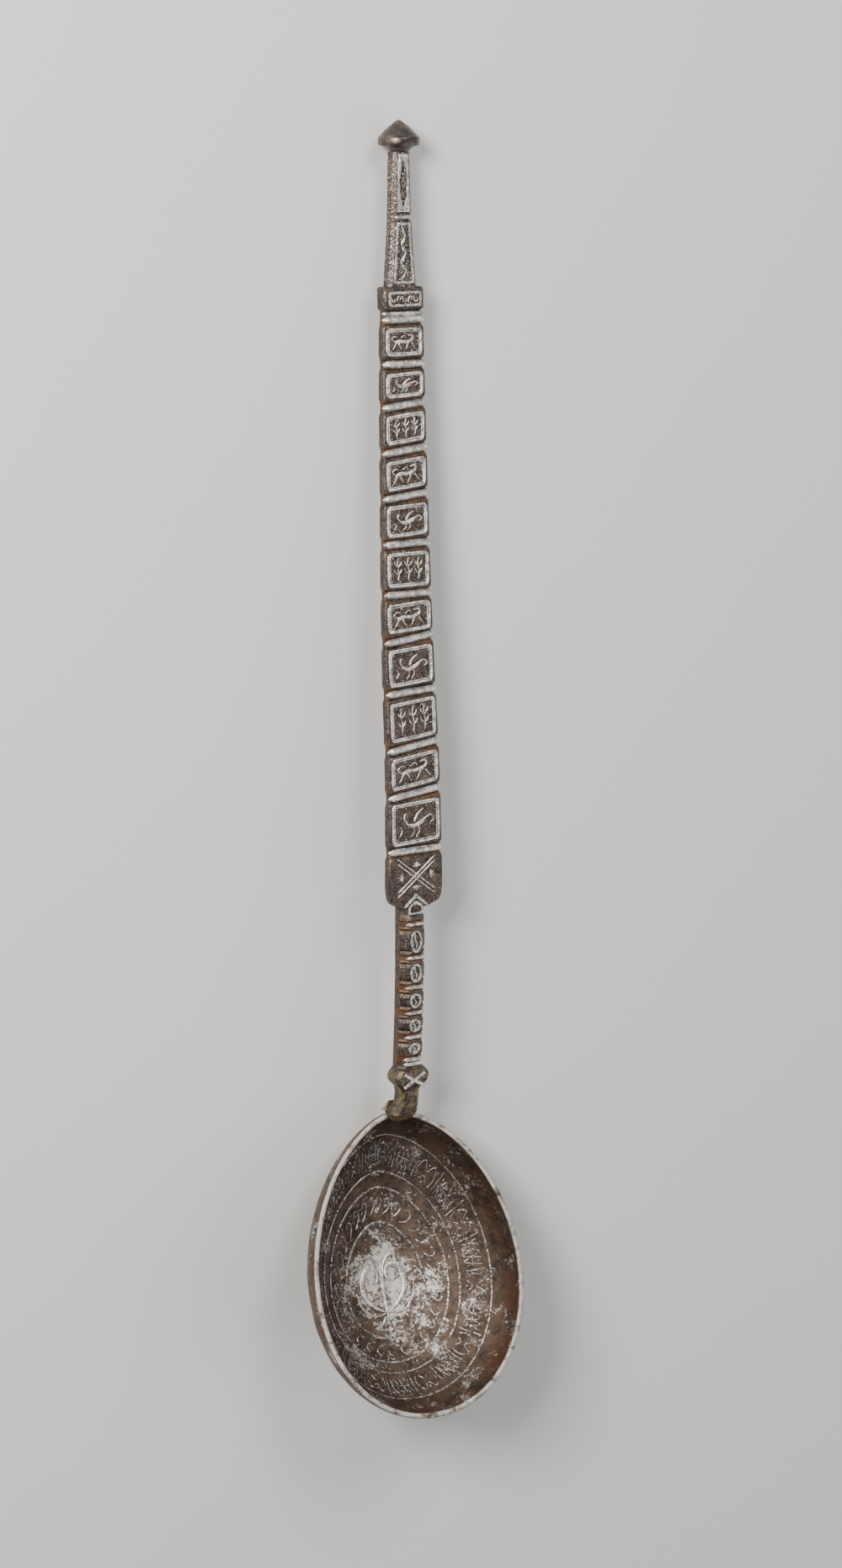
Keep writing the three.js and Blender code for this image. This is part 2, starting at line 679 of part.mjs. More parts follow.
function chevronGeometry() {
  const drop = CHEVRON_LINE * Math.hypot(1, CHEVRON_RISE / CHEVRON_HALF_WIDTH);
  const points = [
    [0, CHEVRON_RISE],
    [CHEVRON_HALF_WIDTH, 0],
    [CHEVRON_HALF_WIDTH - CHEVRON_LINE, 0],
    [0, CHEVRON_RISE - drop],
    [-CHEVRON_HALF_WIDTH + CHEVRON_LINE, 0],
    [-CHEVRON_HALF_WIDTH, 0],
  ].map(([x, y]) => new THREE.Vector2(x, y));
  return plate(new THREE.Shape(points));
}

// A pointed arch, from the blade's foot down to the first bar of the narrow shaft
function archGeometry(height) {
  const draw = (outline, half, low, high) => {
    const spring = THREE.MathUtils.lerp(low, high, 0.45);
    outline.moveTo(-half, low);
    outline.lineTo(half, low);
    outline.lineTo(half, spring);
    outline.quadraticCurveTo(half, (spring + high) / 2, 0, high);
    outline.quadraticCurveTo(-half, (spring + high) / 2, -half, spring);
    outline.closePath();
    return outline;
  };
  const shape = draw(new THREE.Shape(), ARCH_HALF_WIDTH, 0, height);
  const hole = draw(new THREE.Path(), ARCH_HALF_WIDTH - ARCH_LINE, ARCH_LINE, height - ARCH_LINE * 1.6);
  shape.holes.push(hole);
  return plate(shape);
}

function ovalRingGeometry(halfWidth, halfHeight, line) {
  const shape = new THREE.Shape();
  shape.absellipse(0, 0, halfWidth, halfHeight, 0, 2 * Math.PI);
  const hole = new THREE.Path();
  hole.absellipse(0, 0, halfWidth - line, halfHeight - line, 0, 2 * Math.PI, true);
  shape.holes.push(hole);
  return new THREE.ExtrudeGeometry(shape, {
    depth: INLAY_THICKNESS, bevelEnabled: false, curveSegments: MEDALLION_STEPS,
  });
}

// A tapering silver panel of the upper shaft, with an opening of the given outline
function upperPanelGeometry(low, high, cut) {
  const half = (place) => upperWidth(place) / 2 - UPPER_CHAMFER - UPPER_MARGIN;
  const centre = (low + high) / 2;
  const corners = [
    new THREE.Vector2(-half(low), low - centre),
    new THREE.Vector2(half(low), low - centre),
    new THREE.Vector2(half(high), high - centre),
    new THREE.Vector2(-half(high), high - centre),
  ];
  const shape = new THREE.Shape(corners);
  shape.holes.push(cut(half, low - centre, high - centre));
  return plate(shape);
}

// A long opening that follows the panel's own taper
function taperedCut(half, low, high) {
  const middlePlace = SHOULDER + (high - low) / 2;
  const width = (y) => half(middlePlace + y) - UPPER_LINE;
  const corners = [[-1, low], [-1, high], [1, high], [1, low]].map(([side, y]) => {
    const inset = y - Math.sign(y) * UPPER_LINE;
    return new THREE.Vector2(side * width(inset), inset);
  });
  return new THREE.Path(corners);
}

// A lance-shaped leaf
function leafCut(half, low, high) {
  const width = half(UPPER_END) - UPPER_LINE / 2;
  const [foot, tip] = [low + UPPER_LINE, high - UPPER_LINE];
  const path = new THREE.Path();
  path.moveTo(0, foot);
  path.quadraticCurveTo(-2 * width, THREE.MathUtils.lerp(foot, tip, 0.35), 0, tip);
  path.quadraticCurveTo(2 * width, THREE.MathUtils.lerp(foot, tip, 0.35), 0, foot);
  return path;
}

function piece(name, geometry, look) {
  const mesh = new THREE.Mesh(geometry, new THREE.MeshStandardMaterial(look));
  mesh.name = name;
  return mesh;
}

// A silver piece on the handle's front, at a place along it and a height above its middle line
function seated(name, geometry, at, height, { skew = 0, shift = 0 } = {}) {
  const mesh = piece(name, geometry, SILVER);
  mesh.position.set(shift, at, bow(at) + height + INLAY_SEAT);
  mesh.rotation.set(bowSlope(at), 0, skew);
  return mesh;
}

function numbered(name, index) {
  return `${name}_${String(index).padStart(2, '0')}`;
}

function crossbarPieces() {
  const floor = BLADE_FRONT - GROOVE_DEPTH;
  return CROSSBARS.map((place, index) => {
    const skew = barSkew(index);
    const length = bladeWidth(place) / Math.cos(skew);
    const bar = crownedBar(length, CROSSBAR_WIDTH, CROSSBAR_HEIGHT, CROSSBAR_POINT);
    const name = numbered('crossbar', CROSSBARS.length - index);
    return seated(name, bar, place, floor, { skew, shift: sway(place) });
  });
}

function panelFramePieces() {
  return PANEL_PITCHES.map((pitch, index) => {
    const centre = CROSSBARS[index] + pitch / 2;
    const name = numbered('panel_frame', PANEL_PITCHES.length - index);
    const frame = panelFrameGeometry(index, centre);
    return seated(name, frame, centre, BLADE_FRONT, { shift: sway(centre) });
  });
}

function ridge(name, at, length, height) {
  const bar = crownedBar(length, RIDGE_PITCH - JOIN_GAP, SHAFT_BAR_HEIGHT, RIDGE_PITCH / 2);
  return seated(name, bar, at, height);
}

function shaftPieces() {
  const floor = SHAFT_FRONT - SHAFT_GROOVE_DEPTH;
  const flat = SHAFT_WIDTH - 2 * SHAFT_CHAMFER;
  const length = flat + 2 * SHAFT_BAR_OVERHANG;
  const pieces = SHAFT_BARS.map((place, index) => {
    const bar = crownedBar(length, SHAFT_BAR_WIDTH, SHAFT_BAR_HEIGHT, SHAFT_BAR_WIDTH);
    return seated(numbered('shaft_bar', SHAFT_BARS.length - index), bar, place, floor);
  });
  const stops = [LOWER_RIDGES[1], ...SHAFT_BARS];
  for (let index = 0; index < SHAFT_BARS.length; index++) {
    const [low, high] = [stops[index], stops[index + 1]];
    const clear = SHAFT_BAR_WIDTH / 2 + SHAFT_GROOVE_DEPTH + JOIN_GAP + MEDALLION_MARGIN;
    const halfHeight = (high - low) / 2 - clear;
    const ring = ovalRingGeometry(MEDALLION_WIDTH / 2, halfHeight, MEDALLION_LINE);
    const name = numbered('shaft_medallion', SHAFT_BARS.length - index);
    pieces.push(seated(name, ring, (low + high) / 2, SHAFT_FRONT));
  }
  LOWER_RIDGES.forEach((place, index) => {
    pieces.push(ridge(numbered('shaft_ridge', 2 - index), place, length, floor));
  });
  return pieces;
}

function footPieces() {
  const crossing = SHAFT_END + FOOT_PANEL_LENGTH * 0.54;
  const reachUp = CROSSBARS[0] - GROOVE_FLOOR - GROOVE_SLOPE - SALTIRE_MARGIN - crossing;
  const halfWidth = bladeWidth(CROSSBARS[0]) / 2 - SALTIRE_MARGIN * 1.3;
  const upper = new THREE.Vector2(halfWidth, reachUp);
  const lower = new THREE.Vector2(halfWidth * 0.75, -reachUp * 0.9);
  const shift = sway(crossing);
  const archFoot = SHAFT_BARS.at(-1) + THUMB_CUT_PLACE + 0.9;
  const archHeight = SHAFT_END + CHEVRON_RISE - CHEVRON_LINE * 2 - archFoot;
  return [
    seated('foot_saltire', saltireGeometry(upper, lower, SALTIRE_LINE), crossing, BLADE_FRONT, { shift }),
    seated('foot_chevron', chevronGeometry(), SHAFT_END + JOIN_GAP, BLADE_FRONT, { shift: shift / 2 }),
    seated('foot_arch', archGeometry(archHeight), archFoot, BLADE_FRONT, { shift: shift / 2 }),
  ];
}

function knucklePieces() {
  const arm = new THREE.Vector2(
    KNUCKLE_WIDTH / 2 - KNUCKLE_SALTIRE_MARGIN * 1.5,
    KNUCKLE_LENGTH / 2 - KNUCKLE_SALTIRE_MARGIN * 1.4,
  );
  const lower = new THREE.Vector2(arm.x, -arm.y);
  return [seated('knuckle_saltire', saltireGeometry(arm, lower, KNUCKLE_LINE), KNUCKLE_MIDDLE, KNUCKLE_FRONT)];
}

function upperPieces() {
  const collarMiddle = COLLAR_START + COLLAR_LENGTH / 2;
  const halfX = COLLAR_WIDTH / 2 - COLLAR_CHAMFER - COLLAR_MARGIN;
  const halfY = COLLAR_LENGTH / 2 - COLLAR_CHAMFER - COLLAR_MARGIN;
  const corners = [[-1, -1], [1, -1], [1, 1], [-1, 1]].map(([x, y]) => new THREE.Vector2(x * halfX, y * halfY));
  const bandFloor = UPPER_FRONT - UPPER_GROOVE_DEPTH;
  const bandLength = BAND_PLACE_WIDTH - UPPER_CHAMFER;
  const bandEdge = UPPER_BAND_WIDTH / 2 + UPPER_GROOVE_DEPTH + 2 * JOIN_GAP;
  const vine = [SHOULDER + 1, BAND_PLACE - bandEdge];
  const leaf = [BAND_PLACE + bandEdge, UPPER_END - 1];
  const band = crownedBar(bandLength, UPPER_BAND_WIDTH, UPPER_BAND_HEIGHT, UPPER_BAND_WIDTH / 2);
  const centre = ([low, high]) => (low + high) / 2;
  return [
    ridge('collar_ridge', UPPER_RIDGE, BLADE_HEAD_WIDTH, BLADE_FRONT - GROOVE_DEPTH),
    seated('collar_frame', frameGeometry(corners, COLLAR_LINE, COLLAR_LINE), collarMiddle, COLLAR_FRONT),
    seated('vine_frame', upperPanelGeometry(...vine, taperedCut), centre(vine), UPPER_FRONT),
    seated('upper_band', band, BAND_PLACE, bandFloor),
    seated('leaf_panel', upperPanelGeometry(...leaf, leafCut), centre(leaf), UPPER_FRONT),
  ];
}

// Turn that sets the bowl's underside and the finial's edge on one level
function restAngle(bowlMesh, finialMesh) {
  const lowest = (mesh, angle) => {
    const spots = mesh.geometry.getAttribute('position');
    const spot = new THREE.Vector3();
    let best = null;
    for (let index = 0; index < spots.count; index++) {
      spot.fromBufferAttribute(spots, index).add(mesh.position);
      const height = spot.y * Math.sin(angle) + spot.z * Math.cos(angle);
      if (best === null || height < best.height) {
        best = { height, y: spot.y, z: spot.z };
      }
    }
    return best;
  };
  let angle = 0;
  for (let pass = 0; pass < 5; pass++) {
    const [low, high] = [lowest(bowlMesh, angle), lowest(finialMesh, angle)];
    const climb = high.z - low.z - BOWL_FLAT * Math.cos(angle);
    angle = -Math.atan2(climb, high.y - low.y - BOWL_FLAT * Math.sin(angle));
  }
  return angle;
}

// Wears the bowl's underside flat in the plane that the ladle lies on
function wearFlat(bowlMesh, angle) {
  const spots = bowlMesh.geometry.getAttribute('position');
  const up = new THREE.Vector3(0, Math.sin(angle), Math.cos(angle));
  const spot = new THREE.Vector3();
  let floor = Infinity;
  for (let index = 0; index < spots.count; index++) {
    floor = Math.min(floor, spot.fromBufferAttribute(spots, index).dot(up));
  }
  floor += BOWL_FLAT;
  for (let index = 0; index < spots.count; index++) {
    const short = floor - spot.fromBufferAttribute(spots, index).dot(up);
    if (short > 0) {
      spot.addScaledVector(up, short);
      spots.setXYZ(index, spot.x, spot.y, spot.z);
    }
  }
  bowlMesh.geometry.computeVertexNormals();
}

function buildLadle() {
  const bowl = piece('bowl', bowlGeometry(), WORN_IRON);
  const finial = piece('finial_cap', finialGeometry(), IRON);
  finial.position.set(0, UPPER_END, bow(UPPER_END));
  const resting = new THREE.Group();
  resting.add(bowl, finial);
  resting.add(piece('handle_bar', handleGeometry(), IRON));
  resting.add(piece('neck_braze', brazeGeometry(), BRAZE));
  for (const { name, reach } of BOWL_WIRES) {
    resting.add(piece(name, bowlWireGeometry(reach), SILVER));
  }
  resting.add(...crossbarPieces(), ...panelFramePieces(), ...footPieces());
  resting.add(...shaftPieces(), ...knucklePieces(), ...upperPieces());
  resting.rotation.x = restAngle(bowl, finial);
  wearFlat(bowl, resting.rotation.x);

  const ladle = new THREE.Group();
  ladle.add(resting);
  ladle.updateMatrixWorld(true);
  const box = new THREE.Box3().setFromObject(ladle, true);
  const centre = box.getCenter(new THREE.Vector3());
  resting.position.set(-centre.x, -centre.y, -box.min.z);
  return ladle;
}

export default buildLadle();
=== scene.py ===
import math
import random

import bmesh
import bpy
from mathutils import Matrix, Vector, noise


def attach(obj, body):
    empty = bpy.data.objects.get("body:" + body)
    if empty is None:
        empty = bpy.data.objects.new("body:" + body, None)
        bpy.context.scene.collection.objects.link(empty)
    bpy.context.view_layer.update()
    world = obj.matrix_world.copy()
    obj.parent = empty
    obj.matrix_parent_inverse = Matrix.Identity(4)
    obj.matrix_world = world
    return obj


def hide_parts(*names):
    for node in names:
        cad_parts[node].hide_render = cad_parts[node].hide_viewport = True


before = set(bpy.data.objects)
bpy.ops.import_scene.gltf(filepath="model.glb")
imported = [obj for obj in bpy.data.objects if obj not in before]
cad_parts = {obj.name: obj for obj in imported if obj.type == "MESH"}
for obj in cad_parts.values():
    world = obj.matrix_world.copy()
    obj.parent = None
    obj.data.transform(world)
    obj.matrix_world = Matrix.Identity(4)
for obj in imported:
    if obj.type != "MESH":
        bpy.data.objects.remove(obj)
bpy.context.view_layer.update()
random.seed(7)

# The ladle's own sizes in millimetres, as in the CAD part. Handle space: X across the handle,
# Y along it from the bowl's rim to the finial, Z out of its front face.
MM = 0.001
BOWL_LENGTH = 97.5
BOWL_WIDTH = 74.3
BOWL_DEPTH = 29.9
BOWL_WALL = 1.8
BOWL_TILT = math.radians(18.2)
BOWL_SET_BACK = 4.7
BOWL_SIDE_SHIFT = -1.5
NECK_FULLNESS = 0.59
TIP_FULLNESS = 0.476
BOTTOM_PLACE = 0.6
HANDLE_LENGTH = 308.2
BOW_HEIGHT = 4.4
BOW_PEAK = 0.25
SHAFT_END = 69.4
BARS = [87.3, 105.3, 120.0, 137.0, 153.3, 167.1, 182.5, 196.9, 210.7, 224.3, 236.6, 249.8]
BAR_SKEWS = [math.radians(d) for d in (0.2, 7.0, 7.7, 2.8, 6.7, 0, 0.4, 6.0, 6.3, 5.3, 0, 0)]
BLADE_FOOT_WIDTH = 19.3
BLADE_HEAD_WIDTH = 13.9
BLADE_FRONT = 2.0
BLADE_SWAY = 0.8
PANEL_EDGE = 2.35  # from a crossbar's middle to the silver frame
FRAME_LINE = 1.2
SHAFT_FRONT = 3.0
SHAFT_STOPS = [19.6, 27.0, 35.0, 43.4, 53.1, 64.0]
UPPER_FRONT = 2.2
SHOULDER = 259.4
BAND_PLACE = 279.9
COLLAR_MIDDLE = 255.95
COLLAR_FRONT = 2.7
COLLAR_SIDE = 6.35  # where the small ribs sit at the collar's ends
COLLAR_RIB_HEIGHT = 2.1
FOOT_CROSSING = 17.9 * 0.54  # from the shaft's end to the middle of the foot's saltire
PANEL_MARGIN = 0.85  # iron left bare beside a panel's silver frame

# How the fine work is drawn, in millimetres
BORDER_WIDTH = 0.85
BORDER_HEIGHT = 0.3
BORDER_CORNER = 1.5
INNER_LINE = 0.42
INNER_CORNER = 0.9
RELIEF = 0.13
BOLD_RELIEF = 0.2
WIRE_RELIEF = 0.14
BOWL_RELIEF = 0.12
SEAT = 0.12  # drawn strokes start this far over the iron
PANEL_SEAT = 0.16
SKIRT = 0.6  # a stroke's edges reach below its seat by this share of its height
SHOULDER_SHARE = 0.75
SHOULDER_RISE = 0.8
END_SHARE = 0.25
THINNEST = 0.03
DOT_SIDES = 7
DOT_SHOULDER = (0.8, 0.75)  # share of its radius and of its height

# Evenness of the smooth meshes
SOFT_EDGE = math.radians(25)
SAME_FACE = math.radians(1)
FINE_GRAIN = 3.1
FINE_SHARE = 0.4
BOWL_STEPS_ROUND = 160
BOWL_STEPS_DEEP = 40
BOWL_SKIN = 0.02  # the fine bowl lies this far inside the solid one
DENT = 0.1
LIP_DENT = 0.03
LIP_ROUNDING = ((0.1, 0.16), (0.35, 0.02))  # in from the wall's face, and down from the rim
LIP_SHOULDER = 0.5

# Where handle space lies in the row's frame: a small turn about X, then a shift
REST_TURN = math.radians(-2.29583)
HANDLE_ORIGIN = Vector((1.5, -107.4858, 18.3021))
TO_FRAME = Matrix.Translation(HANDLE_ORIGIN) @ Matrix.Rotation(REST_TURN, 4, "X")


def to_frame(point):
    return (TO_FRAME @ Vector(point)) * MM


def from_frame(point):
    return TO_FRAME.inverted() @ (Vector(point) / MM)


def bow(place):
    share = min(max(place / HANDLE_LENGTH, 0), 1)
    fall = 1 / BOW_PEAK - 1
    return BOW_HEIGHT * share * (1 - share) ** fall / (BOW_PEAK * (1 - BOW_PEAK) ** fall)


def lerp(a, b, share):
    return a + (b - a) * share


def smooth(value, low, high):
    share = min(max((value - low) / (high - low), 0), 1)
    return share * share * (3 - 2 * share)


def blade_width(place):
    return lerp(BLADE_FOOT_WIDTH, BLADE_HEAD_WIDTH, (place - SHAFT_END) / (BARS[-1] - SHAFT_END))


def sway(place):
    half = (SHAFT_END + BARS[-1]) / 2
    return BLADE_SWAY * smooth(place, SHAFT_END - 1, SHAFT_END + 1) * (1 - smooth(place, BARS[1], half))


def front_at(front, rise=0.0):
    """A surface function: x and place on the handle's front to a point and a normal."""
    def spot(x, place):
        return Vector((x + sway(place), place, bow(place) + front + rise)), Vector((0, 0, 1))
    return spot


# Bowl surface

def egg_half_width(share):
    def fullness(place):
        return place ** NECK_FULLNESS * (1 - place) ** TIP_FULLNESS
    widest = NECK_FULLNESS / (NECK_FULLNESS + TIP_FULLNESS)
    return BOWL_WIDTH / 2 * fullness(share) / fullness(widest)


def bowl_point(angle, reach, wall, drop):
    share = min(max((1 - math.cos(angle)) / 2, 0), 1)
    side = 1 if math.sin(angle) > 0 else -1
    rim = Vector((side * egg_half_width(share), share * BOWL_LENGTH))
    centre = Vector((0, BOTTOM_PLACE * BOWL_LENGTH))
    spoke = rim - centre
    spoke *= reach * (spoke.length - wall) / spoke.length
    along = centre.y + spoke.y
    return Vector((
        BOWL_SIDE_SHIFT + spoke.x,
        -along * math.cos(BOWL_TILT) - drop * math.sin(BOWL_TILT),
        -BOWL_SET_BACK + along * math.sin(BOWL_TILT) - drop * math.cos(BOWL_TILT),
    ))


def bowl_drop(reach, wall):
    return (BOWL_DEPTH - wall) * math.sqrt(max(0, 1 - reach * reach))


def bowl_inside(rise=0.0):
    """A surface function: turn round the bowl (radians) and reach (0 to 1) to a point and a normal."""
    step = 0.01

    def bare(angle, reach):
        return bowl_point(angle, reach, BOWL_WALL, bowl_drop(reach, BOWL_WALL))

    def spot(angle, reach):
        here = bare(angle, reach)
        across = bare(angle + step, reach) - bare(angle - step, reach)
        down = bare(angle, min(reach + step, 0.995)) - bare(angle, max(reach - step, 0.005))
        normal = across.cross(down).normalized()
        if normal.z < 0:
            normal = -normal
        return here + normal * rise, normal
    return spot


def flat_bowl(rise=0.0):
    """As bowl_inside, but from millimetres across and along the medallion in the bowl's bottom."""
    inside = bowl_inside(rise)

    def spot(x, y):
        reach = math.hypot(x / (BOWL_WIDTH / 2), y / (BOWL_LENGTH / 2))
        return inside(math.atan2(x, y) % (2 * math.pi), reach)
    return spot


# Meshes

def add_piece(name, mesh, material, nodes=()):
    piece = bpy.data.objects.new(name, mesh)
    bpy.context.scene.collection.objects.link(piece)
    mesh.materials.clear()
    mesh.materials.append(material)
    for polygon in mesh.polygons:
        polygon.use_smooth = True
    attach(piece, "root")
    if nodes:
        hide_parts(*nodes)
    return piece


def mesh_from(name, points, faces):
    mesh = bpy.data.meshes.new(name)
    mesh.from_pydata([to_frame(p) for p in points], [], faces)
    mesh.validate()
    work = bmesh.new()
    work.from_mesh(mesh)
    bmesh.ops.recalc_face_normals(work, faces=work.faces)
    work.to_mesh(mesh)
    work.free()
    return mesh


class Drawing:
    """Raised strokes on a surface, gathered into one mesh."""

    def __init__(self, surface, height=0.16):
        self.surface = surface
        self.height = height
        self.points = []
        self.faces = []

    def stroke(self, path, width, closed=False, steps=5):
        """A ribbon with a crowned section along a smooth path of (u, v) pairs."""
        path = [Vector(p) for p in path]
        widths = list(width) if isinstance(width, (list, tuple)) else [width] * len(path)
        spots = smooth_path(path, widths, steps, closed)
        count = len(spots)
        start = len(self.points)
        for index, (here, wide) in enumerate(spots):
            before = spots[index - 1][0] if closed or index else here
            after = spots[(index + 1) % count][0] if closed or index < count - 1 else here
            tapered = not closed and index in (0, count - 1)
            half = max(wide / 2 * (END_SHARE if tapered else 1), THINNEST)
            self.points.extend(self.section(here, before, after, half))
        self.join_sections(start, count, closed)

    def section(self, here, before, after, half):
        """The five points across a stroke at one place."""
        centre, normal = self.surface(*here)
        ahead = self.surface(*after)[0] - self.surface(*before)[0]
        side = normal.cross(ahead)
        if side.length < 1e-6:
            side = Vector((1, 0, 0))
        side.normalize()
        top = normal * self.height
        return [
            centre - side * half - top * SKIRT,
            centre - side * half * SHOULDER_SHARE + top * SHOULDER_RISE,
            centre + top,
            centre + side * half * SHOULDER_SHARE + top * SHOULDER_RISE,
            centre + side * half - top * SKIRT,
        ]

    def join_sections(self, start, count, closed):
        size = (len(self.points) - start) // count
        for index in range(count if closed else count - 1):
            low = start + index * size
            high = start + ((index + 1) % count) * size
            for side in range(size):
                turn = (side + 1) % size
                self.faces.append((low + side, low + turn, high + turn, high + side))
        if not closed:
            self.faces.append(tuple(range(start + size - 1, start - 1, -1)))
            last = start + (count - 1) * size
            self.faces.append(tuple(range(last, last + size)))

    def dot(self, u, v, radius, reach_u=1.0, reach_v=1.0):
        """A small dome; the reaches turn millimetres into the surface's own measures."""
        start = len(self.points)
        centre, normal = self.surface(u, v)
        for size, lift in ((1, -SKIRT), DOT_SHOULDER):
            for side in range(DOT_SIDES):
                turn = 2 * math.pi * side / DOT_SIDES
                spot, up = self.surface(u + math.cos(turn) * radius * size * reach_u,
                                        v + math.sin(turn) * radius * size * reach_v)
                self.points.append(spot + up * self.height * lift)
        self.points.append(centre + normal * self.height)
        upper = start + DOT_SIDES
        for side in range(DOT_SIDES):
            turn = (side + 1) % DOT_SIDES
            self.faces.append((start + side, start + turn, upper + turn, upper + side))
            self.faces.append((upper + side, upper + turn, upper + DOT_SIDES))
        self.faces.append(tuple(range(start + DOT_SIDES - 1, start - 1, -1)))

    def finish(self, name, material, nodes=()):
        return add_piece(name, mesh_from(name, self.points, self.faces), material, nodes)


def smooth_path(path, widths, steps, closed):
    """Points along a Catmull-Rom curve through the path, each with its width."""
    if len(path) < 3 and not closed:
        return list(zip(path, widths))
    count = len(path)
    spots = []
    for index in range(count if closed else count - 1):
        if closed:
            knots = [path[(index + k) % count] for k in (-1, 0, 1, 2)]
        else:
            knots = [path[min(max(index + k, 0), count - 1)] for k in (-1, 0, 1, 2)]
        a, b, c, d = knots
        for step in range(steps):
            t = step / steps
            here = 0.5 * (2 * b + (c - a) * t + (2 * a - 5 * b + 4 * c - d) * t * t
                          + (3 * b - a - 3 * c + d) * t ** 3)
            spots.append((here, lerp(widths[index], widths[(index + 1) % count], t)))
    if not closed:
        spots.append((path[-1], widths[-1]))
    return spots


def refined(node, material, bevel, cuts=2, rough=0.06, grain=0.9, swell=None):
    """A copy of a CAD node's mesh, softened at its edges and given the unevenness of hand work."""
    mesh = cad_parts[node].data.copy()
    mesh.name = node + "_worn"
    work = bmesh.new()
    work.from_mesh(mesh)
    bmesh.ops.remove_doubles(work, verts=work.verts, dist=1e-6)
    bmesh.ops.dissolve_limit(work, angle_limit=SAME_FACE, verts=work.verts, edges=work.edges)
    sharp = [e for e in work.edges if len(e.link_faces) == 2 and e.calc_face_angle(0) > SOFT_EDGE]
    bmesh.ops.bevel(work, geom=sharp, offset=bevel * MM, segments=2, profile=0.6, affect="EDGES",
                    clamp_overlap=True)
    bmesh.ops.triangulate(work, faces=work.faces)
    bmesh.ops.subdivide_edges(work, edges=work.edges, cuts=cuts, use_grid_fill=True)
    work.normal_update()
    for vert in work.verts:
        spot = from_frame(vert.co)
        lift = noise.noise(spot * grain) * rough + noise.noise(spot * grain * FINE_GRAIN) * rough * FINE_SHARE
        shift = vert.normal * lift * MM
        if swell:
            shift += swell(spot, vert.normal) * MM
        vert.co += shift
    work.to_mesh(mesh)
    work.free()
    return add_piece(node + "_worn", mesh, material, (node,))


# Materials

class Shader:
    """A node material under construction."""

    def __init__(self, name):
        self.material = bpy.data.materials.new(name)
        self.material.use_nodes = True
        self.tree = self.material.node_tree
        self.tree.nodes.clear()
        self.output = self.tree.nodes.new("ShaderNodeOutputMaterial")
        self.surface = self.tree.nodes.new("ShaderNodeBsdfPrincipled")
        self.tree.links.new(self.surface.outputs[0], self.output.inputs[0])
        self.place = self.tree.nodes.new("ShaderNodeTexCoord").outputs["Object"]

    def link(self, source, target):
        self.tree.links.new(source, target)

    def noise(self, scale, detail=6.0, rough=0.6, distort=0.0):
        node = self.tree.nodes.new("ShaderNodeTexNoise")
        node.inputs["Scale"].default_value = scale
        node.inputs["Detail"].default_value = detail
        node.inputs["Roughness"].default_value = rough
        node.inputs["Distortion"].default_value = distort
        self.link(self.place, node.inputs["Vector"])
        return node.outputs["Fac"]

    def cells(self, scale):
        node = self.tree.nodes.new("ShaderNodeTexVoronoi")
        node.inputs["Scale"].default_value = scale
        self.link(self.place, node.inputs["Vector"])
        return node.outputs["Distance"]

    def ramp(self, source, low, high, flip=False):
        node = self.tree.nodes.new("ShaderNodeMapRange")
        node.interpolation_type = "SMOOTHSTEP"
        node.inputs["From Min"].default_value = low
        node.inputs["From Max"].default_value = high
        node.inputs["To Min"].default_value = 1.0 if flip else 0.0
        node.inputs["To Max"].default_value = 0.0 if flip else 1.0
        self.link(source, node.inputs["Value"])
        return node.outputs["Result"]

    def math(self, kind, first, second):
        node = self.tree.nodes.new("ShaderNodeMath")
        node.operation = kind
        for socket, value in zip(node.inputs, (first, second)):
            if isinstance(value, (int, float)):
                socket.default_value = value
            else:
                self.link(value, socket)
        return node.outputs[0]

    def mix(self, factor, first, second):
        node = self.tree.nodes.new("ShaderNodeMix")
        node.data_type = "RGBA"
        self.link(factor, node.inputs["Factor"])
        for socket, value in ((node.inputs[6], first), (node.inputs[7], second)):
            if isinstance(value, tuple):
                socket.default_value = (*value, 1)
            else:
                self.link(value, socket)
        return node.outputs[2]

    def attribute(self, name):
        node = self.tree.nodes.new("ShaderNodeAttribute")
        node.attribute_name = name
        return node.outputs["Fac"]

    def bump(self, source, strength, distance):
        node = self.tree.nodes.new("ShaderNodeBump")
        node.inputs["Strength"].default_value = strength
        node.inputs["Distance"].default_value = distance
        self.link(source, node.inputs["Height"])
        self.link(node.outputs[0], self.surface.inputs["Normal"])

    def set(self, color, metal, rough):
        for key, value in (("Base Color", color), ("Metallic", metal), ("Roughness", rough)):
            if isinstance(value, tuple):
                self.surface.inputs[key].default_value = (*value, 1)
            elif isinstance(value, (int, float)):
                self.surface.inputs[key].default_value = value
            else:
                self.link(value, self.surface.inputs[key])
        return self.material


DARK_IRON = (0.030, 0.022, 0.018)
BROWN_IRON = (0.115, 0.078, 0.056)
BOWL_DARK = (0.055, 0.038, 0.030)
BOWL_BROWN = (0.16, 0.11, 0.08)
BOWL_RED = (0.12, 0.055, 0.03)
BOWL_BRIGHT = (0.66, 0.62, 0.57)
FINIAL_DARK = (0.07, 0.06, 0.055)
FINIAL_BROWN = (0.2, 0.16, 0.13)
FINIAL_BRIGHT = (0.55, 0.52, 0.48)
BRAZE_DARK = (0.16, 0.13, 0.07)
BRAZE_BRIGHT = (0.42, 0.34, 0.16)
RUST = (0.15, 0.068, 0.03)
NECK_BRASS = (0.21, 0.165, 0.08)
BRIGHT_SILVER = (0.90, 0.87, 0.82)
DULL_SILVER = (0.42, 0.385, 0.35)
TARNISH = (0.05, 0.04, 0.035)


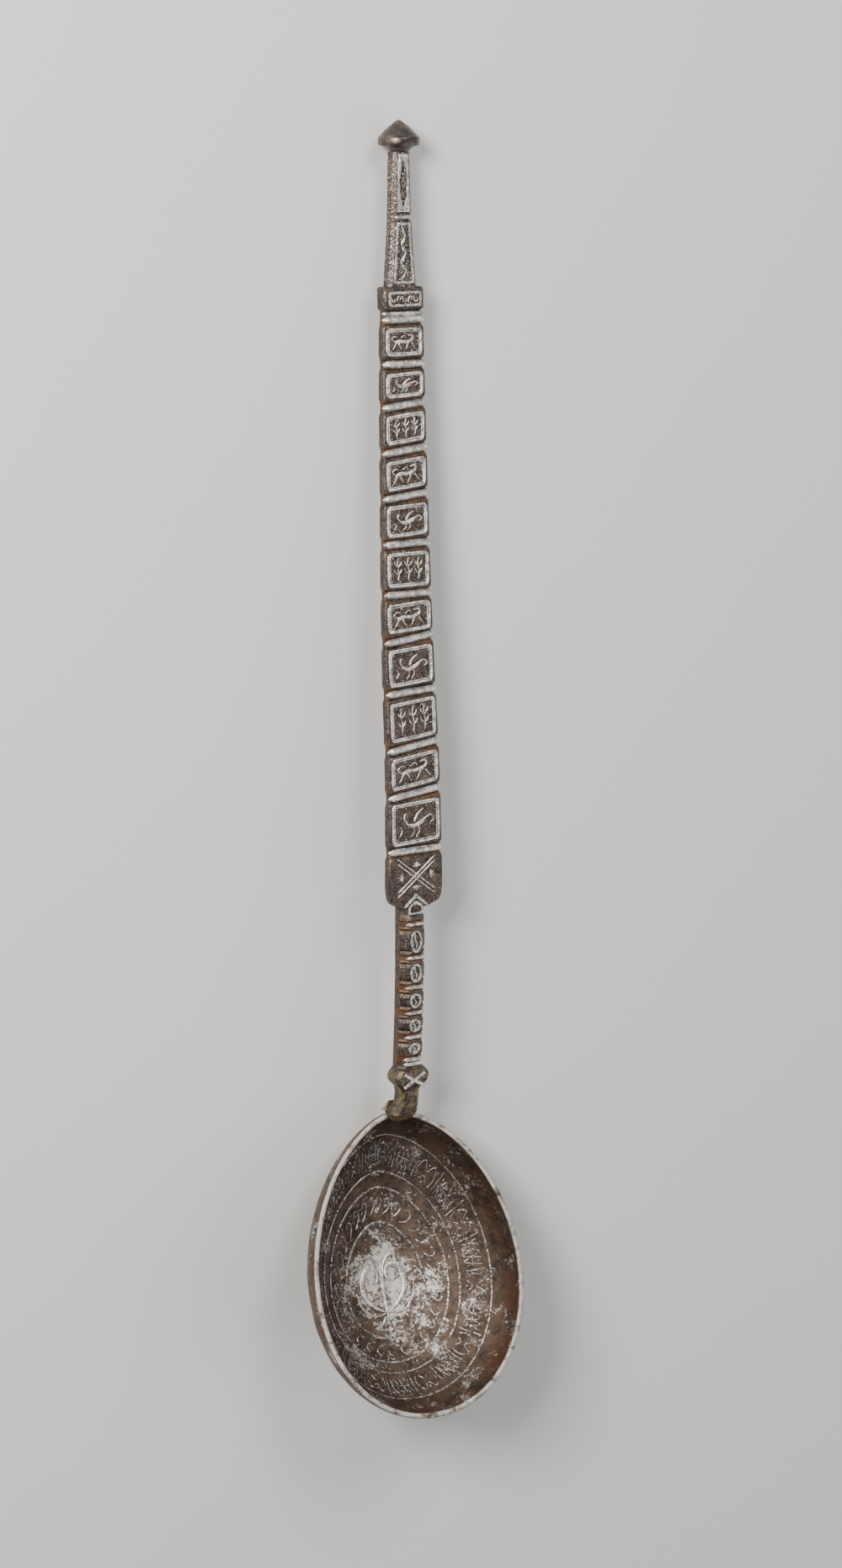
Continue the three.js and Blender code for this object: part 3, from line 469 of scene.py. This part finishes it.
def silver_material(name, worn, pitted=0.26):
    shader = Shader(name)
    wear = shader.ramp(shader.noise(1700, 8, 0.7), 0.60 - worn, 0.66 - worn)
    tone = shader.mix(shader.ramp(shader.noise(600, 6), 0.35, 0.65), DULL_SILVER, BRIGHT_SILVER)
    pits = shader.ramp(shader.cells(2600), pitted - 0.16, pitted, flip=True)
    dark = shader.math("MAXIMUM", wear, pits)
    shader.bump(shader.noise(2200, 6, 0.7), 0.6, 0.0003)
    rough = shader.math("ADD", shader.math("MULTIPLY", dark, 0.3), 0.27)
    return shader.set(shader.mix(dark, tone, TARNISH), 0.9, rough)


def handle_iron():
    shader = Shader("handle_iron")
    base = shader.mix(shader.ramp(shader.noise(420, 8, 0.7), 0.35, 0.68), DARK_IRON, BROWN_IRON)
    specks = shader.ramp(shader.noise(2200, 5, 0.7), 0.56, 0.62)
    worn = shader.mix(shader.math("MULTIPLY", specks, shader.attribute("front")), base, BRIGHT_SILVER)
    rust = shader.math("MULTIPLY", shader.attribute("groove"), shader.ramp(shader.noise(500, 6), 0.36, 0.6))
    brass = shader.math("MULTIPLY", shader.attribute("neck"), shader.ramp(shader.noise(380, 7), 0.46, 0.60))
    shader.bump(shader.noise(1400, 8, 0.7), 0.6, 0.0003)
    return shader.set(shader.mix(brass, shader.mix(rust, worn, RUST), NECK_BRASS), 0.75, 0.45)


def bowl_iron():
    shader = Shader("bowl_iron")
    base = shader.mix(shader.ramp(shader.noise(220, 8, 0.7), 0.33, 0.68), BOWL_DARK, BOWL_BROWN)
    red = shader.math("MULTIPLY", shader.attribute("rim_zone"), shader.ramp(shader.noise(110, 6), 0.42, 0.66))
    base = shader.mix(red, base, BOWL_RED)
    spread = shader.math("MULTIPLY", shader.attribute("middle"), 0.12)
    grain = shader.math("ADD", shader.noise(900, 9, 0.78, 0.8), spread)
    patches = shader.math("MULTIPLY", shader.math("ADD", shader.noise(120, 5), -0.5), 0.7)
    specks = shader.ramp(shader.math("ADD", grain, patches), 0.60, 0.66)
    # painted highlight: the top of the rim (edge) is painted bright silver where it catches the light; lip
    # joins it with the bowl's real worn silver specks
    edge = shader.math("MULTIPLY", shader.attribute("lip"), shader.ramp(shader.noise(330, 8), 0.30, 0.56))
    lip = shader.math("MAXIMUM", specks, edge)
    color = shader.mix(lip, base, BOWL_BRIGHT)
    shader.bump(shader.noise(900, 9, 0.75), 0.8, 0.0005)
    rough = shader.math("SUBTRACT", 0.52, shader.math("MULTIPLY", lip, 0.2))
    return shader.set(color, 0.8, rough)


def finial_iron():
    shader = Shader("finial_iron")
    base = shader.mix(shader.ramp(shader.noise(300, 8, 0.7), 0.4, 0.7), FINIAL_DARK, FINIAL_BROWN)
    streak = shader.ramp(shader.noise(900, 8, 0.75), 0.60, 0.68)
    shader.bump(shader.noise(900, 8, 0.7), 0.3, 0.0003)
    return shader.set(shader.mix(streak, base, FINIAL_BRIGHT), 0.85, 0.34)


def braze_material():
    shader = Shader("braze")
    base = shader.mix(shader.ramp(shader.noise(420, 8), 0.35, 0.65), BRAZE_DARK, BRAZE_BRIGHT)
    shader.bump(shader.noise(1200, 8), 0.5, 0.0003)
    return shader.set(base, 0.8, 0.45)


SILVER = silver_material("silver", 0.0)
FINE_SILVER = silver_material("fine_silver", -0.10, 0.17)
WORN_SILVER = silver_material("worn_silver", 0.07)
BOWL_SILVER = silver_material("bowl_silver", 0.13)
HANDLE_IRON = handle_iron()
BOWL_IRON = bowl_iron()


def paint(piece, name, value_of):
    """A point attribute that a material reads, from a function of the point in handle space."""
    layer = piece.data.attributes.new(name, "FLOAT", "POINT")
    for index, vert in enumerate(piece.data.vertices):
        layer.data[index].value = value_of(from_frame(vert.co))


# Bowl

def dented_ring(reach, wall, drop, dent=DENT):
    """One ring of points round the bowl, pushed in here and there as by a hammer."""
    ring = []
    for step in range(BOWL_STEPS_ROUND):
        spot = bowl_point(2 * math.pi * step / BOWL_STEPS_ROUND, reach, wall, drop)
        push = noise.noise(spot * 0.11) * dent * 2.4 + noise.noise(spot * 0.4) * dent
        inward = (Vector((BOWL_SIDE_SHIFT, spot.y, 20)) - spot).normalized()
        ring.append(spot + inward * max(push, -BOWL_SKIN))
    return ring


def bowl_rings():
    """Rings from the middle of the bowl's outside, over the lip, to the middle of its inside."""
    reaches = [math.sin(step / BOWL_STEPS_DEEP * math.pi / 2) for step in range(1, BOWL_STEPS_DEEP)]
    rings = [dented_ring(reach, BOWL_SKIN, bowl_drop(reach, BOWL_SKIN) - BOWL_SKIN) for reach in reaches]
    lip = [(BOWL_SKIN, LIP_SHOULDER)] + list(LIP_ROUNDING) + [(BOWL_WALL / 2, 0.0)]
    lip += [(BOWL_WALL - inset, drop) for inset, drop in reversed(LIP_ROUNDING)] + [(BOWL_WALL, LIP_SHOULDER)]
    rings += [dented_ring(1, wall, drop, LIP_DENT) for wall, drop in lip]
    rings += [dented_ring(reach, BOWL_WALL, bowl_drop(reach, BOWL_WALL)) for reach in reversed(reaches)]
    return rings


def skin(rings, first, last):
    """Points and faces of a closed skin over rings, with a point at each end."""
    around = len(rings[0])
    points = [spot for ring in rings for spot in ring] + [first, last]
    start, end = len(points) - 2, len(points) - 1
    faces = []
    for row in range(len(rings) - 1):
        low, high = row * around, (row + 1) * around
        for step in range(around):
            turn = (step + 1) % around
            faces.append((low + step, low + turn, high + turn, high + step))
    top = (len(rings) - 1) * around
    for step in range(around):
        turn = (step + 1) % around
        faces.append((start, turn, step))
        faces.append((end, top + step, top + turn))
    return points, faces


def build_bowl():
    under = bowl_point(0, 0, 0, BOWL_DEPTH - 0.05)
    inner = bowl_point(0, 0, BOWL_WALL, BOWL_DEPTH - BOWL_WALL)
    mesh = mesh_from("bowl_raised", *skin(bowl_rings(), under, inner))
    piece = add_piece("bowl_raised", mesh, BOWL_IRON, ("bowl",))
    for vert in piece.data.vertices:  # the underside is worn flat where the ladle lies
        vert.co.z = max(vert.co.z, BOWL_SKIN * MM)

    def below_rim(spot):
        return (spot.z + BOWL_SET_BACK) * math.cos(BOWL_TILT) + spot.y * math.sin(BOWL_TILT)
    paint(piece, "middle", lambda spot: 1 - smooth((spot - inner).length, 4, 30))
    paint(piece, "rim_zone", lambda spot: smooth(below_rim(spot), -16, -2))
    # lip: painted highlight, a bright band along the top of the rim
    paint(piece, "lip", lambda spot: smooth(below_rim(spot), -0.3, -0.05) * 0.75)


WIRES = (("bowl_medallion_ring", 0.40, 0.9), ("bowl_scroll_ring", 0.60, 0.8),
         ("bowl_band_lower_line", 0.69, 0.7), ("bowl_band_upper_line", 0.90, 0.7))  # reach and width
WIRE_STEPS = 96
SCROLL_WAVES = 30
SCROLL_CURL = ((0, 0.45), (0.5, 0.475), (0.75, 0.52), (0.45, 0.55), (0.2, 0.52))
BAND_CELLS = 22
BAND_LOW = 0.72
BAND_HIGH = 0.875
DOT_DOWN = 1 / 42  # reach for each millimetre down the bowl's wall
LACE = ((0.12, 0), (0.3, 1), (0.5, 0), (0.7, 1), (0.88, 0))  # place, and whether the strand has crossed
CROWN = ((0.2, 0.1), (0.12, 0.5), (0.3, 0.9), (0.5, 0.55), (0.7, 0.9), (0.88, 0.5), (0.8, 0.1))
HOOK = ((0.32, 0.15), (0.5, 0.38), (0.68, 0.15))
POST = ((0, 0), (0.02, 0.5), (0, 1))


def build_bowl_ornament():
    inside = bowl_inside(SEAT)
    for node, reach, width in WIRES:
        wire = Drawing(inside, WIRE_RELIEF)
        path = [(2 * math.pi * k / WIRE_STEPS, reach) for k in range(WIRE_STEPS)]
        wire.stroke(path, width, closed=True, steps=1)
        wire.finish(node + "_wire", BOWL_SILVER, (node,))
    scroll = Drawing(inside, BOWL_RELIEF)
    gap = 2 * math.pi / SCROLL_WAVES
    for k in range(SCROLL_WAVES):
        turn = 2 * math.pi * k / SCROLL_WAVES
        scroll.stroke([(turn + gap * on, reach) for on, reach in SCROLL_CURL], [0.5, 0.6, 0.5, 0.4, 0.2])
        scroll.dot(turn + gap * 0.9, 0.565, 0.3, 1 / 24, DOT_DOWN)
    scroll.finish("bowl_scroll_border", BOWL_SILVER)
    build_bowl_band(inside)
    build_bowl_medallion()


def build_bowl_band(inside):
    """Cells round the wall, each with laced strands or a plain knot between upright bars."""
    band = Drawing(inside, BOWL_RELIEF)
    gap = 2 * math.pi / BAND_CELLS
    for k in range(BAND_CELLS):
        start = 2 * math.pi * k / BAND_CELLS

        def at(u, v, start=start):
            return start + gap * u, lerp(BAND_LOW, BAND_HIGH, v)
        if k % 2:
            for v in (0.12, 0.5, 0.88):
                band.stroke([at(u, 1 - v if crossed else v) for u, crossed in LACE], 0.45)
        else:
            band.stroke([at(*spot) for spot in CROWN], 0.55)
            band.stroke([at(*spot) for spot in HOOK], 0.45)
        band.stroke([at(*spot) for spot in POST], 0.5)
        for v in (0.8, 0.12):
            band.dot(*at(0.5, v), 0.3, 1 / 32, DOT_DOWN)
    band.finish("bowl_band_knots", BOWL_SILVER)


def mirrored(side, path):
    return [(side * x, y) for x, y in path]


def build_bowl_medallion():
    """A split palmette with curling leaves in the bottom of the bowl."""
    leaf = Drawing(flat_bowl(SEAT + SEAT), BOLD_RELIEF)
    curl = [(0, -9), (4, -6), (8, -1), (7, 5), (3, 6), (2.5, 2.5), (4.5, 1.5)]
    for side in (-1, 1):
        leaf.stroke(mirrored(side, curl), [0.5, 1.5, 2.4, 2.6, 1.8, 0.9, 0.3])
        leaf.stroke(mirrored(side, [(0, -9), (6, -9), (10, -5), (11, -1)]), [0.4, 0.9, 0.8, 0.3])
        leaf.stroke(mirrored(side, [(0, 3), (2, 7), (5, 9), (8, 8)]), [0.6, 1.4, 1.1, 0.3])
        leaf.stroke(mirrored(side, [(1.2, -10), (3, -13), (6, -13)]), [0.6, 1.0, 0.3])
    leaf.stroke([(0, -12), (0, -4), (0, 3), (0, 10)], [0.4, 1.1, 1.7, 0.4])
    leaf.finish("bowl_palmette", FINE_SILVER)


# Handle

GROOVE_FADE = (0.8, 2.4)  # rust fades between these distances from a bar
NECK_FADE = (9, 20)  # the braze's colour fades between these places
FRONT_LEVEL = 1.2  # over the handle's middle, from where the silver specks are denser
CUSHION_RISE = 0.22
CUSHION_DROP = 0.12
BAR_SPREAD = 0.22


def panel_at(place):
    """Index of the blade panel at a place, and how far along it the place lies, from 0 to 1."""
    for index in range(len(BARS) - 1):
        if BARS[index] <= place < BARS[index + 1]:
            return index, (place - BARS[index]) / (BARS[index + 1] - BARS[index])
    return None, 0.0


def cushion(spot, normal):
    """The blade's panels rise a little to their middles, and their edges are rounded."""
    index, along = panel_at(spot.y)
    if index is None or normal.z < 0.6:
        return Vector((0, 0, 0))
    half = blade_width(spot.y) / 2
    across = min(abs(spot.x - sway(spot.y)) / half, 1)
    crown = CUSHION_RISE * (1 - across ** 4) * (1 - abs(2 * along - 1) ** 4)
    return Vector((0, 0, crown - CUSHION_DROP))


def widened(spot, normal):
    """The crossbars spread a little over the grooves beside them."""
    index = min(range(len(BARS)), key=lambda k: abs(BARS[k] - spot.y))
    middle = BARS[index] + (spot.x - sway(spot.y)) * math.tan(BAR_SKEWS[index])
    return Vector((0, (spot.y - middle) * BAR_SPREAD, 0))


def build_handle():
    piece = refined("handle_bar", HANDLE_IRON, bevel=0.28, rough=0.07, swell=cushion)

    def front(spot):
        if spot.y > SHOULDER:
            return 1.0
        return 0.3 if spot.z - bow(spot.y) > FRONT_LEVEL else 0.15

    def groove(spot):
        nearest = min(abs(spot.y - place) for place in BARS + SHAFT_STOPS)
        return 1 - smooth(nearest, *GROOVE_FADE)
    paint(piece, "groove", groove)
    paint(piece, "front", front)
    paint(piece, "neck", lambda spot: 1 - smooth(spot.y, *NECK_FADE))


def build_silver_nodes():
    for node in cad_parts:
        if node.startswith(("crossbar", "shaft_bar", "shaft_ridge", "collar_ridge", "upper_band")):
            swell = widened if node.startswith("crossbar") else None
            refined(node, SILVER, bevel=0.18, rough=0.09, grain=1.3, swell=swell)
        elif node.startswith(("foot_chevron", "foot_arch", "knuckle_saltire", "collar_frame", "vine_frame",
                              "leaf_panel", "shaft_medallion")):
            refined(node, WORN_SILVER, bevel=0.12, grain=1.6)
    refined("finial_cap", finial_iron(), bevel=0.2, cuts=1, grain=0.5)
    refined("neck_braze", braze_material(), bevel=0.3, rough=0.15)


def panel_frame_of(index):
    """Middle, half width and half length of the ground inside a panel's silver frame, and its slant."""
    low, high = BARS[index] + PANEL_EDGE + FRAME_LINE, BARS[index + 1] - PANEL_EDGE - FRAME_LINE
    middle = (low + high) / 2
    half_x = blade_width(middle) / 2 - PANEL_MARGIN - FRAME_LINE
    slant = math.tan((BAR_SKEWS[index] + BAR_SKEWS[index + 1]) / 2)
    return middle, half_x, (high - low) / 2, slant


def build_panels():
    surface = front_at(BLADE_FRONT, PANEL_SEAT)
    motifs = (draw_hare, draw_bird, draw_stems)
    for index in range(len(BARS) - 1):
        middle, half_x, half_y, slant = panel_frame_of(index)
        order = len(BARS) - 2 - index
        number = "%02d" % (order + 1)

        def tilt(x, y, middle=middle, slant=slant):
            return surface(x, middle + y + x * slant)
        edge = FRAME_LINE - 0.45
        border = Drawing(tilt, BORDER_HEIGHT)
        outline = rounded_outline(half_x + edge, half_y + edge, BORDER_CORNER)
        border.stroke(outline, BORDER_WIDTH, closed=True, steps=3)
        border.finish("panel_" + number + "_border", FINE_SILVER, ("panel_frame_" + number,))
        drawing = Drawing(tilt, RELIEF)
        w, h = half_x + 0.12, half_y + 0.12
        drawing.stroke(rounded_outline(w, h, INNER_CORNER), INNER_LINE, closed=True, steps=3)
        motifs[order % len(motifs)](drawing, w - 0.45, h - 0.42)
        scatter_dots(drawing, w - 0.5, h - 0.5)
        drawing.finish("panel_" + number + "_figures", FINE_SILVER)


def rounded_outline(w, h, r):
    """Path of a rectangle with rounded corners and slightly uneven sides."""
    path = []
    for side, end in ((1, -1), (1, 1), (-1, 1), (-1, -1)):
        bend = (side * (w - 0.25 * r), end * (h - 0.25 * r))
        corner = [(side * (w - r), end * h), bend, (side * w, end * (h - r))]
        path += corner if side * end < 0 else corner[::-1]
    return [(x + random.uniform(-0.06, 0.06), y + random.uniform(-0.06, 0.06)) for x, y in path]


def scatter_dots(drawing, w, h):
    for x in (-0.95, -0.5, 0.05, 0.55, 0.95):
        for y in (-0.95, 0.95):
            across = x * w + random.uniform(-0.2, 0.2)
            along = y * h + random.uniform(-0.1, 0.1)
            drawing.dot(across, along, random.uniform(0.14, 0.26))
    for y in (-0.45, 0.1, 0.6):
        for side in (-1, 1):
            drawing.dot(side * w * 0.98, y * h, random.uniform(0.12, 0.22))


def scaled(w, h, path):
    return [(x * w, y * h) for x, y in path]


def draw_hare(drawing, w, h):
    """A running four-footed animal that looks back."""
    rump = min(w, h * 1.4) / 4
    back = [(-0.7, -0.1), (-0.35, 0.08), (0.1, 0.0), (0.5, 0.15)]
    drawing.stroke(scaled(w, h, back), [rump, 1.3, 1.1, 1.2])
    drawing.stroke(scaled(w, h, [(0.5, 0.1), (0.62, 0.45), (0.5, 0.72), (0.25, 0.66)]), [1.1, 0.8, 0.8, 0.3])
    drawing.stroke(scaled(w, h, [(0.52, 0.7), (0.7, 0.95)]), [0.5, 0.2])
    for x, turn in ((-0.6, -0.25), (-0.4, 0.2), (0.3, -0.2), (0.55, 0.28)):
        drawing.stroke(scaled(w, h, [(x, -0.1), (x + turn * 0.5, -0.5), (x + turn, -0.82)]), [0.7, 0.4, 0.3])
    drawing.stroke(scaled(w, h, [(-0.7, 0.0), (-0.9, 0.35), (-0.7, 0.65), (-0.5, 0.5)]), [0.5, 0.4, 0.4, 0.2])
    drawing.stroke(scaled(w, h, [(-0.25, 0.45), (0.0, 0.7), (0.1, 0.4)]), 0.35)


def draw_bird(drawing, w, h):
    """A standing bird with a raised wing and a curling tail."""
    body = [(-0.5, 0.0), (-0.15, -0.2), (0.25, -0.05), (0.5, 0.2)]
    drawing.stroke(scaled(w, h, body), [0.6, 1.5, 1.4, 0.6])
    drawing.stroke(scaled(w, h, [(-0.45, 0.0), (-0.6, 0.35), (-0.5, 0.65)]), [0.8, 0.5, 0.6])
    drawing.stroke(scaled(w, h, [(-0.48, 0.66), (-0.72, 0.6)]), [0.6, 0.15])
    drawing.stroke(scaled(w, h, [(-0.1, 0.05), (0.1, 0.5), (0.4, 0.8)]), [0.8, 0.8, 0.25])
    drawing.stroke(scaled(w, h, [(0.45, 0.15), (0.75, 0.3), (0.9, 0.0), (0.7, -0.15)]), [0.7, 0.5, 0.4, 0.2])
    for x in (-0.15, 0.12):
        drawing.stroke(scaled(w, h, [(x, -0.25), (x + 0.05, -0.6), (x - 0.12, -0.85)]), [0.45, 0.3, 0.25])
    drawing.stroke(scaled(w, h, [(-0.85, -0.75), (-0.7, -0.35), (-0.85, -0.1)]), 0.35)


def draw_stems(drawing, w, h):
    """Upright stems with paired leaves."""
    for x in (-0.62, 0.0, 0.62):
        stem = [(x, -0.85), (x + 0.04, -0.2), (x - 0.04, 0.4), (x, 0.85)]
        drawing.stroke(scaled(w, h, stem), [0.5, 0.45, 0.4, 0.3])
        for y in (-0.35, 0.25):
            for side in (-1, 1):
                leaf = [(x, y), (x + side * 0.14, y + 0.16), (x + side * 0.22, y + 0.42)]
                drawing.stroke(scaled(w, h, leaf), [0.3, 0.55, 0.15])
        drawing.dot(x * w, 0.88 * h, 0.28)


def build_collar():
    ridge = bow(COLLAR_MIDDLE)

    def face(x, y):
        return Vector((x, COLLAR_MIDDLE + y, ridge + COLLAR_FRONT + SEAT)), Vector((0, 0, 1))

    def end(x, y):
        spot = Vector((math.copysign(COLLAR_SIDE, x), COLLAR_MIDDLE + y, ridge + COLLAR_RIB_HEIGHT))
        return spot, Vector((math.copysign(0.8, x), 0, 0.6))
    collar = Drawing(face, RELIEF)
    for k in range(5):
        x = -3.8 + k * 1.9
        flip = 1 if k % 2 else -1
        curl = [(x - 0.8, -0.9 * flip), (x - 0.3, 0.7 * flip), (x + 0.5, 0.5 * flip), (x + 0.3, -0.3 * flip)]
        collar.stroke(curl, [0.35, 0.5, 0.45, 0.2])
        collar.dot(x, -1.1 * flip, 0.22)
    collar.finish("collar_scroll", FINE_SILVER)
    ribs = Drawing(end, 0.25)
    for side in (-1, 1):
        for k in range(4):
            y = -1.8 + k * 1.2
            ribs.stroke([(side, y - 0.42), (side, y), (side, y + 0.42)], [0.5, 0.8, 0.5])
    ribs.finish("collar_ribs", WORN_SILVER)


def build_vine():
    """A waving stem with a leaf in each bend, in the frame over the collar."""
    vine = Drawing(front_at(UPPER_FRONT, SEAT), RELIEF)
    waves = 6
    low, high = SHOULDER + 2.4, BAND_PLACE - 2.6
    stem = []
    for k in range(waves + 1):
        swing = 0.75 if k % 2 else -0.75
        stem.append((swing * lerp(1.4, 0.7, k / waves), lerp(low, high, k / waves)))
    vine.stroke(stem, 0.42)
    for k, (x, place) in enumerate(stem[:-1]):
        reach = (-1 if x > 0 else 1) * lerp(1.5, 0.8, k / waves)
        leaf = [(x, place), (x + reach * 0.7, place + 0.5), (x + reach, place + 1.5)]
        vine.stroke(leaf, [0.3, 0.75, 0.2])
    vine.finish("upper_vine", FINE_SILVER)


def build_foot_ornament():
    crossing = SHAFT_END + FOOT_CROSSING
    cross = Drawing(front_at(BLADE_FRONT, SEAT), 0.22)
    for lean in (-1, 1):
        for gap in (-0.75, 0.75):
            rise = lean * 5.4
            line = [(-6.6, crossing - rise + gap), (0, crossing + gap), (6.6, crossing + rise + gap)]
            cross.stroke(line, 0.6)
    cross.finish("foot_saltire_lines", FINE_SILVER, ("foot_saltire",))
    foot = Drawing(front_at(BLADE_FRONT, 0.15), BOLD_RELIEF)
    for dx, dy in ((0, 3.9), (0, -3.6), (-5.2, 0.2), (5.2, 0.2)):
        x, y = dx * 0.9, crossing + dy * 0.8
        for turn in range(5):
            angle = math.radians(-70 + 35 * turn) + math.atan2(dx, dy)
            leaf = [(x, y), (x + math.sin(angle) * 0.9, y + math.cos(angle) * 0.9),
                    (x + math.sin(angle) * 1.7, y + math.cos(angle) * 1.6)]
            foot.stroke(leaf, [0.3, 0.55, 0.15])
    foot.finish("foot_palmettes", FINE_SILVER)


def build_medallion_leaves():
    shaft = Drawing(front_at(SHAFT_FRONT, SEAT), RELIEF)
    for low, high in zip(SHAFT_STOPS, SHAFT_STOPS[1:]):
        middle = (low + high) / 2
        reach = (high - low) / 2 - 2.6
        leaf = [(0, middle - reach), (0.35, middle - reach * 0.3), (-0.35, middle + reach * 0.3),
                (0, middle + reach)]
        shaft.stroke(leaf, [0.3, 0.55, 0.5, 0.2])
        for side in (-1, 1):
            shaft.dot(side * 0.75, middle + side * reach * 0.4, 0.2)
    shaft.finish("medallion_leaves", FINE_SILVER)


# Stage, lights and camera

CAMERA_TURN = math.radians(29.12)  # to the left of the handle's front
CAMERA_RISE = math.radians(12.83)  # above the square view of the handle
CAMERA_ROLL = math.radians(0.34)
CAMERA_DISTANCE = 963.5
CAMERA_TARGET = Vector((0, 107.3, 0))
CAMERA_SHIFT = (-5.44, 0.10)
FOCAL_PIXELS = 3701.8
PHOTO_HEIGHT = 1863
SENSOR = 36.0
FLOOR_HALF = 4.0  # metres
FLOOR_DROP = 0.0002
FLOOR_TONES = ((0.60, 0.59, 0.57), (0.64, 0.63, 0.61))
SKY = (0.75, 0.78, 0.82, 1)
SKY_STRENGTH = 0.3


def build_camera():
    away = Vector((-math.sin(CAMERA_TURN) * math.cos(CAMERA_RISE), math.sin(CAMERA_RISE),
                   math.cos(CAMERA_TURN) * math.cos(CAMERA_RISE)))
    right = Vector((math.cos(CAMERA_TURN), 0, math.sin(CAMERA_TURN)))
    up = away.cross(right)
    across = right * math.cos(CAMERA_ROLL) - up * math.sin(CAMERA_ROLL)
    upward = right * math.sin(CAMERA_ROLL) + up * math.cos(CAMERA_ROLL)
    eye = CAMERA_TARGET - across * CAMERA_SHIFT[0] - upward * CAMERA_SHIFT[1] + away * CAMERA_DISTANCE
    data = bpy.data.cameras.new("camera")
    data.sensor_width = SENSOR
    data.lens = SENSOR * FOCAL_PIXELS / PHOTO_HEIGHT
    data.clip_start = 0.01
    camera = bpy.data.objects.new("camera", data)
    turn = TO_FRAME.to_3x3()
    axes = Matrix([turn @ across, turn @ upward, turn @ away]).transposed().to_4x4()
    camera.matrix_world = Matrix.Translation(to_frame(eye)) @ axes
    bpy.context.scene.collection.objects.link(camera)
    bpy.context.scene.camera = camera


LIGHTS = (
    # name, place, target, size, power and colour
    ("key", (-0.8, 0.5, 0.7), (0, 0, 0), 0.35, 22, (1, 0.98, 0.95)),
    ("fill", (0.9, -0.4, 0.8), (0, -0.1, 0), 0.9, 5, (1, 1, 1)),
    ("top", (0.1, 0.9, 1.0), (0, 0.05, 0), 0.5, 9, (1, 1, 1)),
)


def add_light(name, place, target, size, power, color):
    data = bpy.data.lights.new(name, "AREA")
    data.size = size
    data.energy = power
    data.color = color
    light = bpy.data.objects.new(name, data)
    light.location = place
    light.rotation_euler = (Vector(target) - Vector(place)).to_track_quat("-Z", "Y").to_euler()
    bpy.context.scene.collection.objects.link(light)


def build_stage():
    mesh = bpy.data.meshes.new("floor")
    work = bmesh.new()
    bmesh.ops.create_grid(work, x_segments=1, y_segments=1, size=FLOOR_HALF)
    work.to_mesh(mesh)
    work.free()
    floor = bpy.data.objects.new("floor", mesh)
    shader = Shader("floor")
    tone = shader.mix(shader.noise(3, 3), *FLOOR_TONES)
    mesh.materials.append(shader.set(tone, 0.0, 0.85))
    floor.location.z = -FLOOR_DROP
    bpy.context.scene.collection.objects.link(floor)
    world = bpy.data.worlds.new("studio")
    world.use_nodes = True
    sky = world.node_tree.nodes["Background"]
    sky.inputs["Color"].default_value = SKY
    sky.inputs["Strength"].default_value = SKY_STRENGTH
    bpy.context.scene.world = world
    for light in LIGHTS:
        add_light(*light)


build_camera()
build_stage()
build_bowl()
build_bowl_ornament()
build_handle()
build_silver_nodes()
build_panels()
build_collar()
build_vine()
build_foot_ornament()
build_medallion_leaves()
